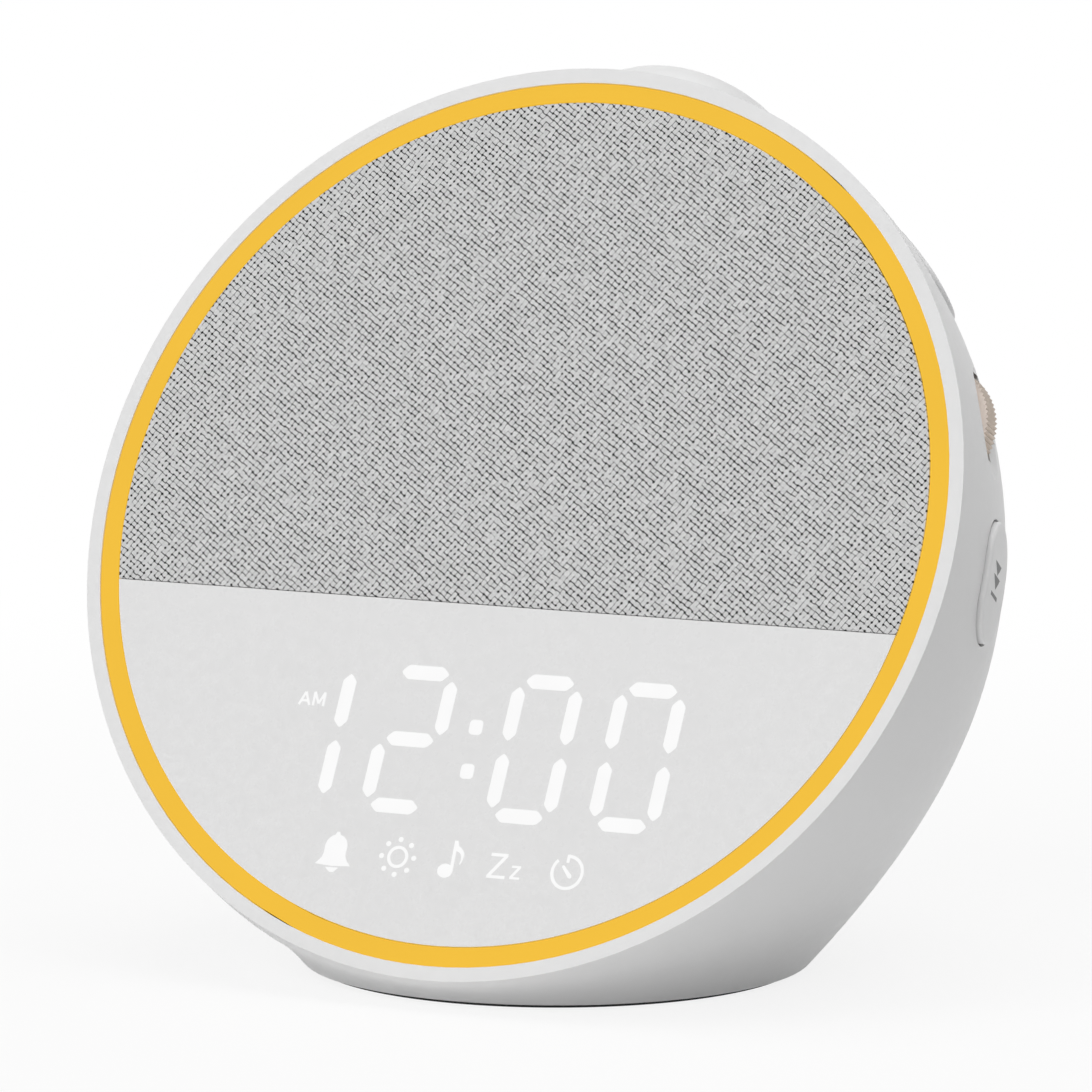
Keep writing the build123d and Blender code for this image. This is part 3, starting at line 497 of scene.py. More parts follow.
BELL = (
    (-18.1, -46.4), (-17.25, -45.3), (-17.08, -43.6), (-16.55, -42.8), (-16.0, -42.5),
    (-15.85, -42.12), (-15.45, -42.12), (-15.3, -42.5), (-14.7, -42.75), (-14.16, -43.5),
    (-14.0, -45.3), (-13.15, -46.4), (-15.66, -46.55),
)
BELL_SMOOTH = (1, 2, 3, 8, 9, 10)
CLAPPER = ((-16.6, -46.72), (-15.66, -47.35), (-14.72, -46.72))
CLAPPER_SMOOTH = (1,)

SUN_PLACE = (-6.84 * MM, -44.66 * MM)
SUN_RADIUS = 1.44 * MM
SUN_INNER = 1.03 * MM
SUN_RAYS = 8
RAY_DISTANCE = 2.25 * MM
RAY_RADIUS = 0.34 * MM

NOTE_HEAD_PLACE = (0.0, -45.87 * MM)
NOTE_HEAD_RADIUS = 1.0 * MM
NOTE_HEAD_STRETCH = (1.04, 0.9)
NOTE_STEM = (
    (0.62, -45.6), (0.62, -41.95), (1.06, -41.95), (1.3, -42.6), (2.1, -43.3), (2.2, -44.1),
    (1.9, -44.97), (1.78, -44.9), (1.9, -44.1), (1.6, -43.5), (1.06, -43.25), (1.06, -45.8),
)
NOTE_SMOOTH = (4, 5, 8, 9)

LARGE_SLEEP_LETTER = (
    (5.95, -43.07), (8.27, -43.07), (8.27, -43.44), (6.38, -45.89), (8.3, -45.89),
    (8.3, -46.28), (5.8, -46.28), (5.8, -45.92), (7.7, -43.47), (5.95, -43.47),
)
SMALL_SLEEP_LETTER = (
    (9.05, -44.46), (10.3, -44.46), (10.3, -44.72), (9.38, -45.91), (10.3, -45.91),
    (10.3, -46.19), (8.95, -46.19), (8.95, -45.93), (9.87, -44.74), (9.05, -44.74),
)

TIMER_PLACE = (16.63 * MM, -44.73 * MM)
TIMER_RADIUS = 2.25 * MM
TIMER_INNER = 1.84 * MM
# where the timer's ring is open, in degrees
TIMER_OPEN = (97.0, 137.0)
TIMER_TICK = ((16.3, -42.48), (16.68, -42.42), (16.68, -43.5), (16.3, -43.5))
TIMER_HAND = (
    (15.85, -43.9), (16.05, -43.86), (17.3, -45.05), (17.25, -45.42), (16.9, -45.45), (15.8, -44.1),
)
TIMER_HAND_SMOOTH = (3,)


def letter_plates():
    plates = []
    for line in HALF_DAY_LETTERS:
        for start, end in zip(line, line[1:]):
            plates.append(stroke_plate(start, end, LETTER_STROKE))
    return plates


def sun_plates():
    """Ring with round dots about it."""
    x, y = SUN_PLACE
    plates = [ring_plate(SUN_RADIUS, SUN_INNER, x, y)]
    for step in range(SUN_RAYS):
        turn = math.tau * step / SUN_RAYS
        ray_x = x + RAY_DISTANCE * math.cos(turn)
        ray_y = y + RAY_DISTANCE * math.sin(turn)
        plates.append(disc_plate(RAY_RADIUS, ray_x, ray_y, vertices=16))
    return plates


def timer_plates():
    """Open ring with a tick at its top and a tapered hand."""
    ring = ring_plate(TIMER_RADIUS, TIMER_INNER, *TIMER_PLACE, vertices=72)
    cut_ring(ring, *TIMER_PLACE, *TIMER_OPEN)
    return [ring, outline_plate(TIMER_TICK), outline_plate(TIMER_HAND, TIMER_HAND_SMOOTH)]


def make_icons(sizes):
    """Half-day letters, bell, sun, note, sleep letters and timer."""
    plates = letter_plates()
    plates.append(outline_plate(BELL, BELL_SMOOTH))
    plates.append(outline_plate(CLAPPER, CLAPPER_SMOOTH))
    plates.extend(sun_plates())
    plates.append(disc_plate(NOTE_HEAD_RADIUS, *NOTE_HEAD_PLACE, stretch=NOTE_HEAD_STRETCH))
    plates.append(outline_plate(NOTE_STEM, NOTE_SMOOTH))
    plates.append(outline_plate(LARGE_SLEEP_LETTER))
    plates.append(outline_plate(SMALL_SLEEP_LETTER))
    plates.extend(timer_plates())
    made = thicken(join(plates), GLOW_THICKNESS)
    place_on_face(made, "lit_icons", GLOW_DEPTH)
    dress(made, glow_material(sizes))
    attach(made, "clock")


# ------------------------------------------------------------------ printed marks on the side keys
KEY_TURNS = {"previous_key": math.radians(46.0), "next_key": math.radians(0.6)}
KEY_DISTANCES = {"previous_key": 57.5 * MM, "next_key": 58.2 * MM}
KEY_DEPTHS = {"previous_key": 18.6 * MM, "next_key": 16.6 * MM}
KEY_PITCHES = {"previous_key": math.radians(15.0), "next_key": math.radians(11.0)}
# which way each key's arrows point along it
KEY_WAYS = {"previous_key": 1, "next_key": -1}

# the mark's edges across the key, and its arrows' and bar's ends along it, in millimetres
MARK_FRONT = 3.25
MARK_MIDDLE = 1.4
MARK_REAR = -0.45
ARROWS = ((-2.33, -0.68), (-0.55, 1.2))
BAR_START = 1.8
BAR_END = 2.35
# a mark is drawn this far above its key and then laid on it, with this much ink
DRAWN_ABOVE = 4 * MM
INK_THICKNESS = 0.015 * MM


def key_matrix(key):
    turn = KEY_TURNS[key]
    radial = ACROSS * math.cos(turn) + FACE_UP * math.sin(turn)
    along = FACE_UP * math.cos(turn) - ACROSS * math.sin(turn)
    out = radial * math.cos(KEY_PITCHES[key]) - FACE_OUT * math.sin(KEY_PITCHES[key])
    side = out.cross(along)
    origin = FACE_CENTRE + radial * KEY_DISTANCES[key] - FACE_OUT * KEY_DEPTHS[key]
    return Matrix.Translation(origin) @ Matrix((along, side, out)).transposed().to_4x4()


def mark_plates(way):
    """Two arrow heads and a bar."""
    plates = []
    for base, point in ARROWS:
        base, point = way * base, way * point
        plates.append(outline_plate(((base, MARK_FRONT), (base, MARK_REAR), (point, MARK_MIDDLE))))
    start, end = way * BAR_START, way * BAR_END
    bar = ((start, MARK_FRONT), (end, MARK_FRONT), (end, MARK_REAR), (start, MARK_REAR))
    plates.append(outline_plate(bar))
    return plates


def lay_on_key(made, key):
    """Lays a finely divided flat mark on the key's own curved top."""
    edit_whole(made)
    bpy.ops.mesh.quads_convert_to_tris()
    bpy.ops.mesh.subdivide(number_cuts=5)
    bpy.ops.mesh.normals_make_consistent(inside=False)
    bpy.ops.object.mode_set(mode="OBJECT")
    made.data.transform(Matrix.Translation((0, 0, DRAWN_ABOVE)))
    made.data.transform(key_matrix(key))
    press = made.modifiers.new("lay on the key", "SHRINKWRAP")
    press.target = NODES[key]
    press.wrap_method = "NEAREST_SURFACEPOINT"
    press.wrap_mode = "ABOVE_SURFACE"
    press.offset = INK_THICKNESS
    bpy.ops.object.modifier_apply(modifier=press.name)


def make_key_marks(colours):
    """One printed skip mark on each side key."""
    ink = ink_material(colours)
    for key, way in KEY_WAYS.items():
        made = join(mark_plates(way))
        made.name = key.replace("_key", "_mark")
        lay_on_key(made, key)
        dress(made, ink)
        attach(made, "previous" if key == "previous_key" else "next")


# ------------------------------------------------------------------ materials: helpers
# nearly all of a noise's values lie between these two
NOISE_SPAN = (0.3, 0.7)


def new_material(name):
    made = bpy.data.materials.new(name)
    made.use_nodes = True
    tree = made.node_tree
    tree.nodes.clear()
    out = tree.nodes.new("ShaderNodeOutputMaterial")
    shader = tree.nodes.new("ShaderNodeBsdfPrincipled")
    tree.links.new(shader.outputs["BSDF"], out.inputs["Surface"])
    return made, tree, shader


def feed(tree, socket, value):
    """Links another node's socket to this one, or sets a number or a colour on it."""
    if isinstance(value, bpy.types.NodeSocket):
        tree.links.new(value, socket)
    elif isinstance(value, (int, float)):
        socket.default_value = value
    else:
        socket.default_value = (*value[:3], 1)


def set_inputs(tree, node, **values):
    """Feeds a node's sockets, whose names have an underscore here for each space."""
    for title, value in values.items():
        feed(tree, node.inputs[title.replace("_", " ")], value)


def math_node(tree, operation, *values):
    made = tree.nodes.new("ShaderNodeMath")
    made.operation = operation
    for socket, value in zip(made.inputs, values):
        feed(tree, socket, value)
    return made.outputs[0]


def vector_node(tree, operation, *vectors):
    made = tree.nodes.new("ShaderNodeVectorMath")
    made.operation = operation
    for socket, vector in zip(made.inputs, vectors):
        if isinstance(vector, bpy.types.NodeSocket):
            tree.links.new(vector, socket)
        else:
            socket.default_value = vector
    return made


def scaled(tree, colour, level):
    """A colour made brighter or darker by a factor."""
    made = vector_node(tree, "SCALE", colour)
    tree.links.new(level, made.inputs["Scale"])
    return made.outputs[0]


def colour_mix(tree, share, first, second):
    """First where the share is 0, second where it is 1."""
    made = tree.nodes.new("ShaderNodeMix")
    made.data_type = "RGBA"
    feed(tree, made.inputs[0], share)
    feed(tree, made.inputs[6], first)
    feed(tree, made.inputs[7], second)
    return made.outputs[2]


def ramp(tree, value, low, high, out_low=0.0, out_high=1.0):
    """A soft step from out_low, where the value is low, to out_high, where it is high."""
    made = tree.nodes.new("ShaderNodeMapRange")
    made.interpolation_type = "SMOOTHSTEP"
    for number, setting in enumerate((low, high, out_low, out_high)):
        made.inputs[number + 1].default_value = setting
    tree.links.new(value, made.inputs[0])
    return made.outputs[0]


def object_place(tree):
    return tree.nodes.new("ShaderNodeTexCoord").outputs["Object"]


def face_place(tree):
    """The place measured from the face's centre, with Z straight out of the face."""
    made = tree.nodes.new("ShaderNodeMapping")
    made.vector_type = "TEXTURE"
    made.inputs["Location"].default_value = FACE_CENTRE
    made.inputs["Rotation"].default_value = (math.pi / 2 - FACE_LEAN, 0, 0)
    tree.links.new(object_place(tree), made.inputs["Vector"])
    return made.outputs[0]


def noise(tree, place, scale, detail=3.0, roughness=0.5):
    made = tree.nodes.new("ShaderNodeTexNoise")
    set_inputs(tree, made, Vector=place, Scale=scale, Detail=detail, Roughness=roughness)
    return made.outputs["Fac"]


def bump(tree, height, strength, distance):
    made = tree.nodes.new("ShaderNodeBump")
    set_inputs(tree, made, Height=height, Strength=strength, Distance=distance)
    return made.outputs["Normal"]


def new_group(name, inputs, outputs):
    """A node group with named sockets; returns it with its input and output nodes."""
    group = bpy.data.node_groups.new(name, "ShaderNodeTree")
    for way, sockets in (("INPUT", inputs), ("OUTPUT", outputs)):
        for title, kind in sockets.items():
            group.interface.new_socket(name=title, in_out=way, socket_type=f"NodeSocket{kind}")
    return group, group.nodes.new("NodeGroupInput"), group.nodes.new("NodeGroupOutput")


def use_group(tree, group, **values):
    made = tree.nodes.new("ShaderNodeGroup")
    made.node_tree = group
    set_inputs(tree, made, **values)
    return made


def moulded_group():
    """Moulded surface: faint tone changes, a fine orange-peel height and uneven gloss."""
    found = bpy.data.node_groups.get("moulded surface")
    if found:
        return found
    group, start, end = new_group(
        "moulded surface",
        {"Colour": "Color", "Tone": "Float"},
        {"Colour": "Color", "Height": "Float", "Gloss": "Float"},
    )
    place = object_place(group)
    broad = noise(group, place, scale=45.0, detail=2.0)
    fine = noise(group, place, scale=4200.0, detail=2.0)
    speck = noise(group, place, scale=800.0)
    change = math_node(group, "MULTIPLY", start.outputs["Tone"], math_node(group, "SUBTRACT", broad, 0.5))
    level = math_node(group, "ADD", 1.0, change)
    group.links.new(scaled(group, start.outputs["Colour"], level), end.inputs["Colour"])
    group.links.new(fine, end.inputs["Height"])
    group.links.new(ramp(group, speck, *NOISE_SPAN), end.inputs["Gloss"])
    return group


def plastic_material(name, colour, roughness, tone=0.03, grain=0.03, specular=0.35):
    """Moulded plastic, a little shinier and a little duller from spot to spot."""
    made, tree, shader = new_material(name)
    surface = use_group(tree, moulded_group(), Colour=colour, Tone=tone)
    gloss = ramp(tree, surface.outputs["Gloss"], 0, 1, roughness - 0.04, roughness + 0.06)
    peel = bump(tree, surface.outputs["Height"], strength=grain, distance=0.02 * MM)
    tint = surface.outputs["Colour"]
    set_inputs(tree, shader, Base_Color=tint, Roughness=gloss, Normal=peel, Specular_IOR_Level=specular)
    return made


def steel_material(name, colour, roughness):
    """Plated steel with fine streaks up it and faint dull patches."""
    made, tree, shader = new_material(name)
    place = object_place(tree)
    stretch = tree.nodes.new("ShaderNodeMapping")
    stretch.inputs["Scale"].default_value = (1.0, 1.0, 14.0)
    tree.links.new(place, stretch.inputs["Vector"])
    streaks = noise(tree, stretch.outputs[0], scale=900.0, detail=4.0)
    patches = noise(tree, place, scale=120.0, detail=2.0)
    dull = [value * 0.86 for value in colour]
    tint = colour_mix(tree, ramp(tree, patches, *NOISE_SPAN), dull, colour)
    gloss = ramp(tree, streaks, *NOISE_SPAN, roughness - 0.06, roughness + 0.08)
    relief = bump(tree, streaks, strength=0.15, distance=0.02 * MM)
    set_inputs(tree, shader, Base_Color=tint, Roughness=gloss, Normal=relief, Metallic=1.0)
    return made


# ------------------------------------------------------------------ materials: the weave
# lengths in yarn pitches, measured from a crossing's middle, where 0.5 is its edge
STEEP_YARN_EDGE = (0.31, 0.43)
STEEP_YARN_END = (0.42, 0.5)
FLAT_YARN_EDGE = (0.38, 0.49)
FLAT_YARN_END = (0.43, 0.5)
# the pit's radius, in yarn pitches too, from the corner where four crossings meet
PIT_RADIUS = (0.09, 0.30)
# how dark the painted shade is at a yarn's end, where it dips under the next one
STEEP_END_SHADE = 0.3
FLAT_END_SHADE = 0.25
# the least and the most that the gaps beside the yarns and the pits between four of them are open, which
# sets how deep their painted shade is
STEEP_LOOSENESS = (-0.4, 1.9)
FLAT_LOOSENESS = (-0.2, 1.6)
PIT_SHADE = (0.1, 2.2)
YARN_ROUNDING = 2.4
# how finely a fibre varies along its yarn and across it
FIBRE_ALONG = 1.6
FIBRE_ACROSS = 6.0
FIBRE_TONE = 0.09
CROSSING_TONE = 0.05
FLAT_TONE = -0.03


def chance(group, first, second, seed, low, high):
    """A fixed value from low to high for each pair of whole numbers."""
    pair = group.nodes.new("ShaderNodeCombineXYZ")
    group.links.new(first, pair.inputs[0])
    group.links.new(second, pair.inputs[1])
    pair.inputs[2].default_value = seed
    made = group.nodes.new("ShaderNodeTexWhiteNoise")
    made.noise_dimensions = "3D"
    group.links.new(pair.outputs[0], made.inputs["Vector"])
    return math_node(group, "MULTIPLY_ADD", made.outputs["Value"], high - low, low)


def either(group, share, first, second):
    """First where the share is 0, second where it is 1."""
    made = group.nodes.new("ShaderNodeMix")
    group.links.new(share, made.inputs[0])
    group.links.new(first, made.inputs[2])
    group.links.new(second, made.inputs[3])
    return made.outputs[0]


def left_over(group, value):
    """One minus the value, kept from falling below nought."""
    return math_node(group, "MAXIMUM", math_node(group, "SUBTRACT", 1.0, value), 0.0)


def wandering(group, place):
    """The place moved a little to both sides, so that no yarn runs quite straight."""
    wander = group.nodes.new("ShaderNodeTexNoise")
    set_inputs(group, wander, Vector=place, Scale=0.5, Detail=1.0)
    centred = vector_node(group, "SUBTRACT", wander.outputs["Color"], (0.5, 0.5, 0.5))
    moved = vector_node(group, "MULTIPLY_ADD", centred.outputs[0], (0.5, 0.5, 0.0), place)
    return moved.outputs[0]


def from_middle(group, value):
    """How far a value is from the middle between two whole numbers."""
    return math_node(group, "ABSOLUTE", math_node(group, "SUBTRACT", math_node(group, "FRACT", value), 0.5))


def corner_distance(group, side_s, side_t):
    """How far a place is from the nearest corner, where four crossings meet."""
    squares = [
        math_node(group, "POWER", math_node(group, "SUBTRACT", 0.5, side), 2.0) for side in (side_s, side_t)
    ]
    return math_node(group, "SQRT", math_node(group, "ADD", *squares))


def fibre_tone(group, place, parity):
    """Fine fibres that run along whichever yarn lies on top."""
    strands = []
    for scale_s, scale_t in ((FIBRE_ACROSS, FIBRE_ALONG), (FIBRE_ALONG, FIBRE_ACROSS)):
        stretch = vector_node(group, "MULTIPLY", place, (scale_s, scale_t, 1.0))
        strands.append(noise(group, stretch.outputs[0], scale=1.0, detail=1.0))
    return ramp(group, either(group, parity, *strands), 0.25, 0.75, -FIBRE_TONE, FIBRE_TONE)


def weave_group():
    """Plain weave in yarn pitches: painted shade in the gaps, at the yarn ends and in the pits, the crown's
    height and each yarn's own tone.

    The steep yarns are narrow, with an open gap at each side; the flat ones are wide and nearly touch.
    """
    group, start, end = new_group(
        "plain weave",
        {"Place": "Vector"},
        {"Hollow shade": "Float", "Height": "Float", "Tone": "Float"},
    )
    place = start.outputs["Place"]
    parts = group.nodes.new("ShaderNodeSeparateXYZ")
    group.links.new(wandering(group, place), parts.inputs[0])
    s, t = parts.outputs[0], parts.outputs[1]
    cell_s, cell_t = (math_node(group, "FLOOR", value) for value in (s, t))
    line_s, line_t = (math_node(group, "ROUND", value) for value in (s, t))
    side_s, side_t = (from_middle(group, value) for value in (s, t))
    # 0 where a steep yarn lies on top, 1 where a flat one does
    parity = math_node(group, "FLOORED_MODULO", math_node(group, "ADD", cell_s, cell_t), 2.0)

    # painted shade at a yarn's edges and ends, and in the pits between four crossings
    loose_s = chance(group, line_s, cell_t, 3.5, *STEEP_LOOSENESS)
    loose_t = chance(group, cell_s, line_t, 4.5, *FLAT_LOOSENESS)
    steep_side = math_node(group, "MULTIPLY", ramp(group, side_s, *STEEP_YARN_EDGE), loose_s)
    flat_end = math_node(group, "MULTIPLY", ramp(group, side_s, *FLAT_YARN_END, 0.0, FLAT_END_SHADE), loose_s)
    flat_side = math_node(group, "MULTIPLY", ramp(group, side_t, *FLAT_YARN_EDGE), loose_t)
    steep_end = ramp(group, side_t, *STEEP_YARN_END, 0.0, STEEP_END_SHADE)
    across_shade = either(group, parity, steep_side, flat_end)
    along_shade = either(group, parity, steep_end, flat_side)
    depth = chance(group, line_s, line_t, 9.5, *PIT_SHADE)
    inside_pit = ramp(group, corner_distance(group, side_s, side_t), *PIT_RADIUS, 1.0, 0.0)
    pit = math_node(group, "MULTIPLY", inside_pit, depth)
    clear = [left_over(group, value) for value in (across_shade, along_shade, pit)]
    covered = math_node(group, "MULTIPLY", math_node(group, "MULTIPLY", clear[0], clear[1]), clear[2])
    group.links.new(math_node(group, "SUBTRACT", 1.0, covered), end.inputs["Hollow shade"])

    round_s, round_t = (
        math_node(group, "COSINE", math_node(group, "MULTIPLY", side, YARN_ROUNDING))
        for side in (side_s, side_t)
    )
    group.links.new(math_node(group, "MULTIPLY", round_s, round_t), end.inputs["Height"])

    own = chance(group, cell_s, cell_t, 5.5, -CROSSING_TONE, CROSSING_TONE)
    dim = math_node(group, "MULTIPLY", parity, FLAT_TONE)
    tone = math_node(group, "ADD", math_node(group, "ADD", fibre_tone(group, place, parity), own), dim)
    group.links.new(tone, end.inputs["Tone"])
    return group


def cloth_material(sizes):
    """Matte yarn with painted shade in the gaps, its pattern turned and spaced as the woven sheet is."""
    made, tree, shader = new_material("woven cloth")
    along_yarns = tree.nodes.new("ShaderNodeMapping")
    along_yarns.vector_type = "TEXTURE"
    along_yarns.inputs["Rotation"].default_value = (0, 0, sizes.turn)
    along_yarns.inputs["Scale"].default_value = (sizes.pitch, sizes.pitch, 1)
    tree.links.new(face_place(tree), along_yarns.inputs["Vector"])
    flat = vector_node(tree, "MULTIPLY", along_yarns.outputs[0], (1, 1, 0))
    weave = use_group(tree, weave_group(), Place=flat.outputs[0])
    level = math_node(tree, "ADD", 1.0, weave.outputs["Tone"])
    yarn = scaled(tree, sizes.yarn, level)
    # painted shade: the near-black colour is laid in the gaps, at the yarn ends and in the pits
    tint = colour_mix(tree, weave.outputs["Hollow shade"], yarn, sizes.gap)
    relief = bump(tree, weave.outputs["Height"], strength=0.2, distance=0.1 * MM)
    set_inputs(tree, shader, Base_Color=tint, Normal=relief, Roughness=0.9)
    set_inputs(tree, shader, Specular_IOR_Level=0.15, Sheen_Weight=0.1)
    return made


# ------------------------------------------------------------------ materials: the other finishes
def glow_material(sizes):
    """Evenly lit plates, shared by the digits and the icons."""
    found = bpy.data.materials.get("digit glow")
    if found:
        return found
    made, tree, shader = new_material("digit glow")
    cloud = noise(tree, object_place(tree), scale=300.0, detail=1.0)
    dim = [value * 0.985 for value in sizes.glow]
    glow = colour_mix(tree, ramp(tree, cloud, *NOISE_SPAN), dim, sizes.glow)
    set_inputs(tree, shader, Emission_Color=glow, Emission_Strength=1.0)
    set_inputs(tree, shader, Base_Color=(0.02, 0.02, 0.02), Roughness=0.35, Specular_IOR_Level=0.0)
    return made


def ring_material(colours):
    """Milky light guide: even glow, with the least hint of the lamps behind it."""
    made, tree, shader = new_material("lit ring")
    cloud = noise(tree, object_place(tree), scale=60.0, detail=1.0)
    deep = [value * 0.97 for value in colours.ring]
    glow = colour_mix(tree, ramp(tree, cloud, *NOISE_SPAN), deep, colours.ring)
    set_inputs(tree, shader, Emission_Color=glow, Emission_Strength=0.87)
    set_inputs(tree, shader, Base_Color=(0.12, 0.07, 0.01), Roughness=0.5, Specular_IOR_Level=0.1)
    return made


def ink_material(colours):
    """Grey print, a little thinner in specks."""
    made, tree, shader = new_material("grey ink")
    speck = noise(tree, object_place(tree), scale=2500.0, detail=2.0)
    thin = [value * 1.15 for value in colours.mark]
    tint = colour_mix(tree, ramp(tree, speck, 0.45, 0.8), colours.mark, thin)
    set_inputs(tree, shader, Base_Color=tint, Roughness=0.6, Specular_IOR_Level=0.2)
    return made


def rubber_material():
    """Soft black rubber with a trace of dust."""
    made, tree, shader = new_material("black rubber")
    dust = noise(tree, object_place(tree), scale=1800.0)
    tint = colour_mix(tree, ramp(tree, dust, 0.5, 0.8), (0.012, 0.012, 0.013), (0.03, 0.03, 0.03))
    relief = bump(tree, dust, strength=0.2, distance=0.03 * MM)
    set_inputs(tree, shader, Base_Color=tint, Normal=relief, Roughness=0.8, Specular_IOR_Level=0.1)
    return made


def board_material():
    """Circuit board: solder mask over faint copper tracks."""
    made, tree, shader = new_material("circuit board")
    tracks = tree.nodes.new("ShaderNodeTexVoronoi")
    tracks.distance = "CHEBYCHEV"
    tracks.feature = "DISTANCE_TO_EDGE"
    tracks.inputs["Scale"].default_value = 420.0
    tree.links.new(object_place(tree), tracks.inputs["Vector"])
    line = ramp(tree, tracks.outputs["Distance"], 0.03, 0.08, 1.0, 0.0)
    tint = colour_mix(tree, line, (0.01, 0.09, 0.04), (0.03, 0.2, 0.08))
    relief = bump(tree, line, strength=0.3, distance=0.03 * MM)
    set_inputs(tree, shader, Base_Color=tint, Normal=relief, Roughness=0.4)
    return made


def coil_material():
    """Enamelled wire, wound side by side."""
    made, tree, shader = new_material("copper winding")
    turns = tree.nodes.new("ShaderNodeTexWave")
    turns.bands_direction = "Z"
    turns.inputs["Scale"].default_value = 900.0
    tree.links.new(face_place(tree), turns.inputs["Vector"])
    tint = colour_mix(tree, turns.outputs["Fac"], (0.35, 0.12, 0.05), (0.75, 0.33, 0.16))
    relief = bump(tree, turns.outputs["Fac"], strength=0.5, distance=0.05 * MM)
    set_inputs(tree, shader, Base_Color=tint, Normal=relief, Metallic=0.9, Roughness=0.35)
    return made


def fibre_material(name, dark, pale, scale):
    """Pressed fibres or grains, for the cone, the spider and the magnet."""
    made, tree, shader = new_material(name)
    fibres = noise(tree, object_place(tree), scale, detail=6.0, roughness=0.7)
    tint = colour_mix(tree, ramp(tree, fibres, 0.35, 0.7), dark, pale)
    relief = bump(tree, fibres, strength=0.6, distance=0.08 * MM)
    set_inputs(tree, shader, Base_Color=tint, Normal=relief, Roughness=0.85)
    return made


# painted shade: the knurled rim's colour as shares of the wheel's, and how squarely a surface must look
# outward to take the flat face's paler colour
RIM_SHADE_SHARES = (0.76, 0.75, 0.715)
SHADE_FACING_SPAN = (0.6, 0.9)


def wheel_material(colours):
    """Satin metal with painted shade: the knurled rim is coloured darker than the flat face, by which way
    each surface looks.
    """
    made, tree, shader = new_material("champagne metal")
    surface = tree.nodes.new("ShaderNodeTexCoord")
    # painted shade: surfaces that turn away from the face's outward direction are given the darker rim
    # colour
    shade_facing = vector_node(tree, "DOT_PRODUCT", surface.outputs["Normal"], FACE_OUT)
    flat = ramp(tree, shade_facing.outputs["Value"], *SHADE_FACING_SPAN)
    grain = noise(tree, surface.outputs["Object"], scale=1500.0)
    rim = [value * share for value, share in zip(colours.wheel, RIM_SHADE_SHARES)]
    clean = colour_mix(tree, flat, rim, colours.wheel)
    dim = colour_mix(tree, flat, [value * 0.94 for value in rim], [value * 0.96 for value in colours.wheel])
    tint = colour_mix(tree, ramp(tree, grain, *NOISE_SPAN), dim, clean)
    gloss = ramp(tree, grain, *NOISE_SPAN, 0.38, 0.5)
    relief = bump(tree, grain, strength=0.1, distance=0.02 * MM)
    set_inputs(tree, shader, Base_Color=tint, Roughness=gloss, Normal=relief, Metallic=0.05)
    return made


def dress_nodes(colours):
    """Gives every carried-over node its finish."""
    shell = plastic_material("white shell", colours.shell, 0.42)
    window = plastic_material("milky window", colours.window, 0.30, tone=0.01, grain=0.0, specular=0.4)
    grey = plastic_material("grey moulding", (0.22, 0.22, 0.23), 0.5)
    black = plastic_material("black moulding", (0.02, 0.02, 0.022), 0.45)
    pipe = plastic_material("clear light pipe", (0.8, 0.8, 0.78), 0.2)
    diode = plastic_material("diode", (0.85, 0.8, 0.55), 0.3)
    steel = steel_material("plain steel", (0.55, 0.55, 0.55), 0.35)
    screw = steel_material("screw steel", (0.42, 0.42, 0.43), 0.3)
    board = board_material()
    ferrite = fibre_material("ferrite", (0.03, 0.03, 0.032), (0.07, 0.07, 0.072), 900.0)
    paper = fibre_material("paper cone", (0.03, 0.03, 0.03), (0.09, 0.09, 0.085), 700.0)
    spider = fibre_material("spider cloth", (0.35, 0.2, 0.08), (0.6, 0.4, 0.2), 1500.0)
    finishes = {
        "base_plate": shell, "base_weight": steel, "coin_cell": steel, "coin_cell_holder": black,
        "digit_light_pipes": pipe, "digit_reflector": grey, "display_leds": diode,
        "display_window": window, "dust_cap": paper, "encoder_body": black,
        "foot_ring": rubber_material(), "front_carrier": grey, "housing_shell": shell,
        "inlet_shell": steel, "inlet_tongue": black, "key_switches": black,
        "light_ring": ring_material(colours), "main_board_parts": black, "next_key": shell,
        "next_plunger": black, "previous_key": shell, "previous_plunger": black, "ring_leds": diode,
        "snooze_button": shell, "snooze_plunger": black, "snooze_switch": black,
        "speaker_basket": black, "speaker_cone": paper, "speaker_grille": black,
        "speaker_magnet": ferrite, "speaker_spider": spider, "speaker_surround": black,
        "speaker_yoke": steel, "voice_coil": coil_material(), "volume_wheel": wheel_material(colours),
        "wheel_shaft": steel,
    }
    for name in NODES:
        if name.endswith("_screws"):
            finishes[name] = screw
        elif name.endswith(("_board", "_boards")):
            finishes[name] = board
    for name, node in NODES.items():
        if name != "fabric_cover":
            dress(node, finishes[name])


# ------------------------------------------------------------------ stage
FLOOR_RADIUS = 3.0
# the floor lies this far under the foot, so that the two don't share a plane
FLOOR_DROP = 0.05 * MM
# how far from the foot the floor fades from nearly white to white, and how white it starts
FADE_REACH = (0.04, 0.35)
FADE_START = 0.85

LAMPS = (
    # name, place, size and power in watts
    ("key lamp", (-0.9, -1.5, 1.3), 1.2, 11.2),
    ("front lamp", (0.35, -1.9, 0.9), 1.2, 8.2),
    ("top lamp", (0.2, 0.1, 1.7), 1.4, 14.5),
    ("rim lamp", (0.6, 1.6, 1.2), 1.2, 2.6),
)
LAMP_AIM = Vector((0, 0, 50)) * MM

# how far the middle of the picture lies right of and below the face's centre
CAMERA_RIGHT = 3.849 * MM
CAMERA_DOWN = 3.495 * MM
SENSOR_WIDTH = 36.0
NEAREST_SEEN = 0.05


def seen_plainly(tree):
    """1 for a ray that comes from the camera, a mirror or through a clear piece, else 0."""
    seen = tree.nodes.new("ShaderNodeLightPath")
    beyond = math_node(tree, "MAXIMUM", seen.outputs["Is Glossy Ray"], seen.outputs["Is Transmission Ray"])
    return math_node(tree, "MAXIMUM", seen.outputs["Is Camera Ray"], beyond)


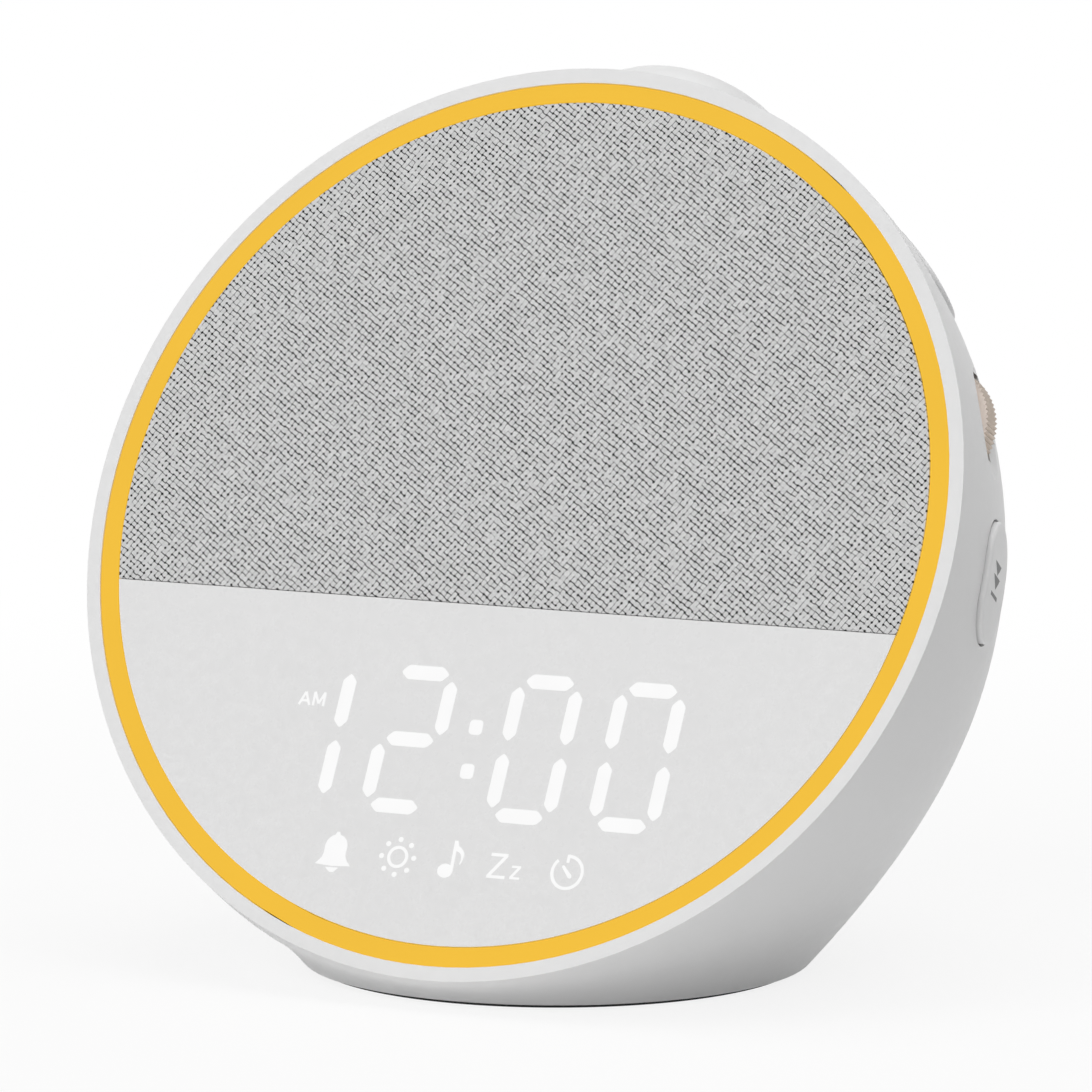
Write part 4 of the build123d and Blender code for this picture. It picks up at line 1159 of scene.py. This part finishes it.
def white_light(tree, kind, strength=1.0):
    """White light from an emission or a background node."""
    made = tree.nodes.new(kind)
    set_inputs(tree, made, Color=(1, 1, 1), Strength=strength)
    return made.outputs[0]


def blend_into(tree, out, share, first, second):
    """Sends first to the output where the share is 0, and second where it is 1."""
    made = tree.nodes.new("ShaderNodeMixShader")
    for socket, value in zip(made.inputs, (share, first, second)):
        tree.links.new(value, socket)
    tree.links.new(made.outputs[0], out.inputs["Surface"])


def make_floor(sizes):
    """Pale floor that takes the clock's soft shadow and is white further off."""
    bpy.ops.mesh.primitive_circle_add(
        vertices=96, radius=FLOOR_RADIUS, fill_type="NGON", location=(0, 0, -FLOOR_DROP)
    )
    floor = bpy.context.active_object
    floor.name = "floor"
    made, tree, shader = new_material("pale floor")
    set_inputs(tree, shader, Base_Color=sizes.floor, Roughness=1.0, Specular_IOR_Level=0.0)
    distance = vector_node(tree, "LENGTH", object_place(tree))
    fade = ramp(tree, distance.outputs["Value"], *FADE_REACH, FADE_START, 1.0)
    share = math_node(tree, "MULTIPLY", seen_plainly(tree), fade)
    out = next(node for node in tree.nodes if node.type == "OUTPUT_MATERIAL")
    blend_into(tree, out, share, shader.outputs["BSDF"], white_light(tree, "ShaderNodeEmission"))
    floor.data.materials.append(made)


def make_world(strength):
    """Even light from all sides, seen as plain white."""
    world = bpy.data.worlds.new("studio")
    bpy.context.scene.world = world
    world.use_nodes = True
    tree = world.node_tree
    tree.nodes.clear()
    out = tree.nodes.new("ShaderNodeOutputWorld")
    light = white_light(tree, "ShaderNodeBackground", strength)
    blend_into(tree, out, seen_plainly(tree), light, white_light(tree, "ShaderNodeBackground"))


def make_lamps():
    for name, place, size, watts in LAMPS:
        bpy.ops.object.light_add(type="AREA", location=place)
        lamp = bpy.context.active_object
        lamp.name = name
        lamp.data.shape = "SQUARE"
        lamp.data.size = size
        lamp.data.energy = watts
        aim = LAMP_AIM - Vector(place)
        lamp.rotation_mode = "QUATERNION"
        lamp.rotation_quaternion = aim.to_track_quat("-Z", "Y")


def make_camera(sizes):
    turn, rise = sizes.azimuth, sizes.elevation
    back = Vector((math.sin(turn) * math.cos(rise), -math.cos(turn) * math.cos(rise), math.sin(rise)))
    right = Vector((math.cos(turn), math.sin(turn), 0))
    up = back.cross(right)
    place = FACE_CENTRE + back * sizes.distance + right * CAMERA_RIGHT - up * CAMERA_DOWN
    bpy.ops.object.camera_add(location=place)
    camera = bpy.context.active_object
    camera.rotation_mode = "QUATERNION"
    camera.rotation_quaternion = Matrix((right, up, back)).transposed().to_quaternion()
    camera.data.lens = sizes.lens
    camera.data.sensor_width = SENSOR_WIDTH
    camera.data.clip_start = NEAREST_SEEN
    bpy.context.scene.camera = camera


# ------------------------------------------------------------------ operators
class ALARMCLOCK_OT_cloth(bpy.types.Operator):
    """Weave and stretch the speaker cloth"""

    bl_idname = "alarmclock.cloth"
    bl_label = "Speaker cloth"

    def execute(self, context):
        make_cloth(context.scene.clock_cloth)
        return {"FINISHED"}


class ALARMCLOCK_OT_digits(bpy.types.Operator):
    """Light the four digits and the colon"""

    bl_idname = "alarmclock.digits"
    bl_label = "Digits"

    def execute(self, context):
        make_digits(context.scene.clock_digits)
        return {"FINISHED"}


class ALARMCLOCK_OT_icons(bpy.types.Operator):
    """Light the half-day letters and the row of icons"""

    bl_idname = "alarmclock.icons"
    bl_label = "Icons"

    def execute(self, context):
        make_icons(context.scene.clock_digits)
        return {"FINISHED"}


class ALARMCLOCK_OT_key_marks(bpy.types.Operator):
    """Print the skip marks on the side keys"""

    bl_idname = "alarmclock.key_marks"
    bl_label = "Key marks"

    def execute(self, context):
        make_key_marks(context.scene.clock_colours)
        return {"FINISHED"}


class ALARMCLOCK_OT_finishes(bpy.types.Operator):
    """Give every part of the frame its finish"""

    bl_idname = "alarmclock.finishes"
    bl_label = "Finishes"

    def execute(self, context):
        dress_nodes(context.scene.clock_colours)
        return {"FINISHED"}


class ALARMCLOCK_OT_stage(bpy.types.Operator):
    """Set the floor, the lamps, the world and the camera"""

    bl_idname = "alarmclock.stage"
    bl_label = "Stage"

    def execute(self, context):
        make_floor(context.scene.clock_stage)
        make_world(context.scene.clock_stage.sky)
        make_lamps()
        make_camera(context.scene.clock_stage)
        context.scene.view_settings.view_transform = "Standard"
        return {"FINISHED"}


OPERATORS = (
    ALARMCLOCK_OT_cloth,
    ALARMCLOCK_OT_digits,
    ALARMCLOCK_OT_icons,
    ALARMCLOCK_OT_key_marks,
    ALARMCLOCK_OT_finishes,
    ALARMCLOCK_OT_stage,
)
GROUPS = {
    "clock_cloth": ClothSizes,
    "clock_digits": DigitSizes,
    "clock_colours": FinishColours,
    "clock_stage": StageSizes,
}


class ALARMCLOCK_PT_sidebar(bpy.types.Panel):
    """Lists the clock's steps"""

    bl_label = "Alarm Clock"
    bl_idname = "ALARMCLOCK_PT_sidebar"
    bl_space_type = "VIEW_3D"
    bl_region_type = "UI"
    bl_category = "Alarm Clock"

    def draw(self, context):
        for step in OPERATORS:
            self.layout.operator(step.bl_idname)
        for name, group in GROUPS.items():
            box = self.layout.box()
            for value in group.__annotations__:
                box.prop(getattr(context.scene, name), value)


def register():
    for made in (*GROUPS.values(), *OPERATORS, ALARMCLOCK_PT_sidebar):
        bpy.utils.register_class(made)
    for name, group in GROUPS.items():
        setattr(bpy.types.Scene, name, bpy.props.PointerProperty(type=group))


def unregister():
    for name in GROUPS:
        delattr(bpy.types.Scene, name)
    for made in (ALARMCLOCK_PT_sidebar, *reversed(OPERATORS), *reversed(list(GROUPS.values()))):
        bpy.utils.unregister_class(made)


def main():
    register()
    bpy.ops.alarmclock.cloth()
    bpy.ops.alarmclock.digits()
    bpy.ops.alarmclock.icons()
    bpy.ops.alarmclock.key_marks()
    bpy.ops.alarmclock.finishes()
    bpy.ops.alarmclock.stage()


if __name__ == "__main__":
    main()
